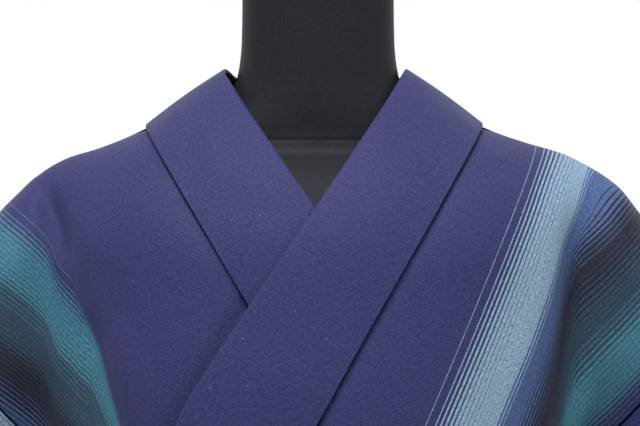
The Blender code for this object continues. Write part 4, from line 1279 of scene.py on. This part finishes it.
# %% Cover and powder coat
def stretch_cover(name):
    material, tree, shader = new_material(name)
    place = add(tree, "ShaderNodeTexCoord").outputs["Object"]
    knit = add(tree, "ShaderNodeTexNoise", Vector=place, Scale=900.0, Detail=2.0).outputs["Fac"]
    tone = ramp(tree, knit, [(0.3, linear("#111116")), (0.7, linear("#1b1b22"))])
    tree.links.new(tone, shader.inputs["Base Color"])
    bump = add(tree, "ShaderNodeBump", Height=knit, Strength=0.3, Distance=0.0003)
    tree.links.new(bump.outputs[0], shader.inputs["Normal"])
    # Fine knit: broad, soft highlight
    shader.inputs["Roughness"].default_value = 0.55
    shader.inputs["Specular IOR Level"].default_value = 0.10
    return material


def powder_coat(name):
    material, tree, shader = new_material(name)
    place = add(tree, "ShaderNodeTexCoord").outputs["Object"]
    peel = add(tree, "ShaderNodeTexNoise", Vector=place, Scale=500.0, Detail=1.0).outputs["Fac"]
    bump = add(tree, "ShaderNodeBump", Height=peel, Strength=0.2, Distance=0.0002)
    tree.links.new(bump.outputs[0], shader.inputs["Normal"])
    shader.inputs["Base Color"].default_value = linear("#242425")
    # Satin paint over steel
    shader.inputs["Roughness"].default_value = 0.42
    return material


cover = stretch_cover("black_stretch_knit_cover")
paint = powder_coat("satin_black_powder_coated_steel")
for item in (form, cap):
    item.data.materials.append(cover)
for item in (base, pole):
    item.data.materials.append(paint)

# %% [markdown]
# ## What stands for what
# Each new piece takes the place of its CAD solid, which is hidden, and rides
# on the one rigid body.

# %% Stand-ins on the root body
for item, node, slot in (
    (body[1], "body_left", "kimono_cloth"), (body[-1], "body_right", "kimono_cloth"),
    (overlap[1], "overlap_left", "kimono_cloth"), (overlap[-1], "overlap_right", "kimono_cloth"),
    (collar, "collar", "collar_cloth"),
    (sleeves[1], "sleeve_left", "kimono_cloth"), (sleeves[-1], "sleeve_right", "kimono_cloth"),
    (sash, "sash", "sash_cloth"), (form, "dress_form", "form_cover"),
    (cap, "neck_cap", "form_cover"), (pole, "stand_pole", "stand_metal"),
    (base, "stand_base", "stand_metal"),
):
    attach(item, "root")
    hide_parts(node)

# %% [markdown]
# ## Studio
#
# A pale floor and an even, near-white surround, as in a catalogue picture. A
# large soft light from high on the left models the folds, and a weaker one on
# the right keeps their far sides open.

# %% Floor and lights
mesh = bmesh.new()
bmesh.ops.create_grid(mesh, x_segments=1, y_segments=1, size=4.0)
floor = link_mesh("studio_floor", mesh)
floor_material, _, floor_shader = new_material("matt_pale_floor_paint")
floor_shader.inputs["Base Color"].default_value = linear("#d6d6d4")
floor_shader.inputs["Roughness"].default_value = 0.9
floor.data.materials.append(floor_material)

world = bpy.data.worlds.new("studio_surround")
bpy.context.scene.world = world
world.use_nodes = True
world.node_tree.nodes["Background"].inputs["Color"].default_value = linear("#ffffff")
world.node_tree.nodes["Background"].inputs["Strength"].default_value = 1.0


def soft_light(name, place, target, size, power):
    data = bpy.data.lights.new(name, "AREA")
    data.shape, data.size, data.size_y, data.energy = "RECTANGLE", size[0], size[1], power
    item = bpy.data.objects.new(name, data)
    bpy.context.scene.collection.objects.link(item)
    item.location = place
    item.rotation_euler = (Vector(target) - Vector(place)).to_track_quat("-Z", "Y").to_euler()


soft_light("key_softbox", (-0.5, -1.35, 3.65), (0, 0, 1.15), (1.2, 1.2), 108.0)
soft_light("fill_softbox", (1.6, -1.2, 3.0), (0, 0, 1.1), (1.4, 1.6), 14.0)

# %% [markdown]
# ## Camera
#
# The picture is a straight-on close view of the chest and collar, level with
# the collar bones, through a long lens, so its lines hardly converge.

# %% Camera
camera_data = bpy.data.cameras.new("front_view")
camera = bpy.data.objects.new("front_view", camera_data)
bpy.context.scene.collection.objects.link(camera)
bpy.context.scene.camera = camera
camera.location = (0.0013, -3.0, 1.2843)
camera.rotation_euler = (math.radians(90.0), 0.0, 0.0)
camera_data.sensor_width = 36.0
camera_data.lens = 36.0 * 3.0 / 0.4288
bpy.context.scene.view_settings.view_transform = "Standard"
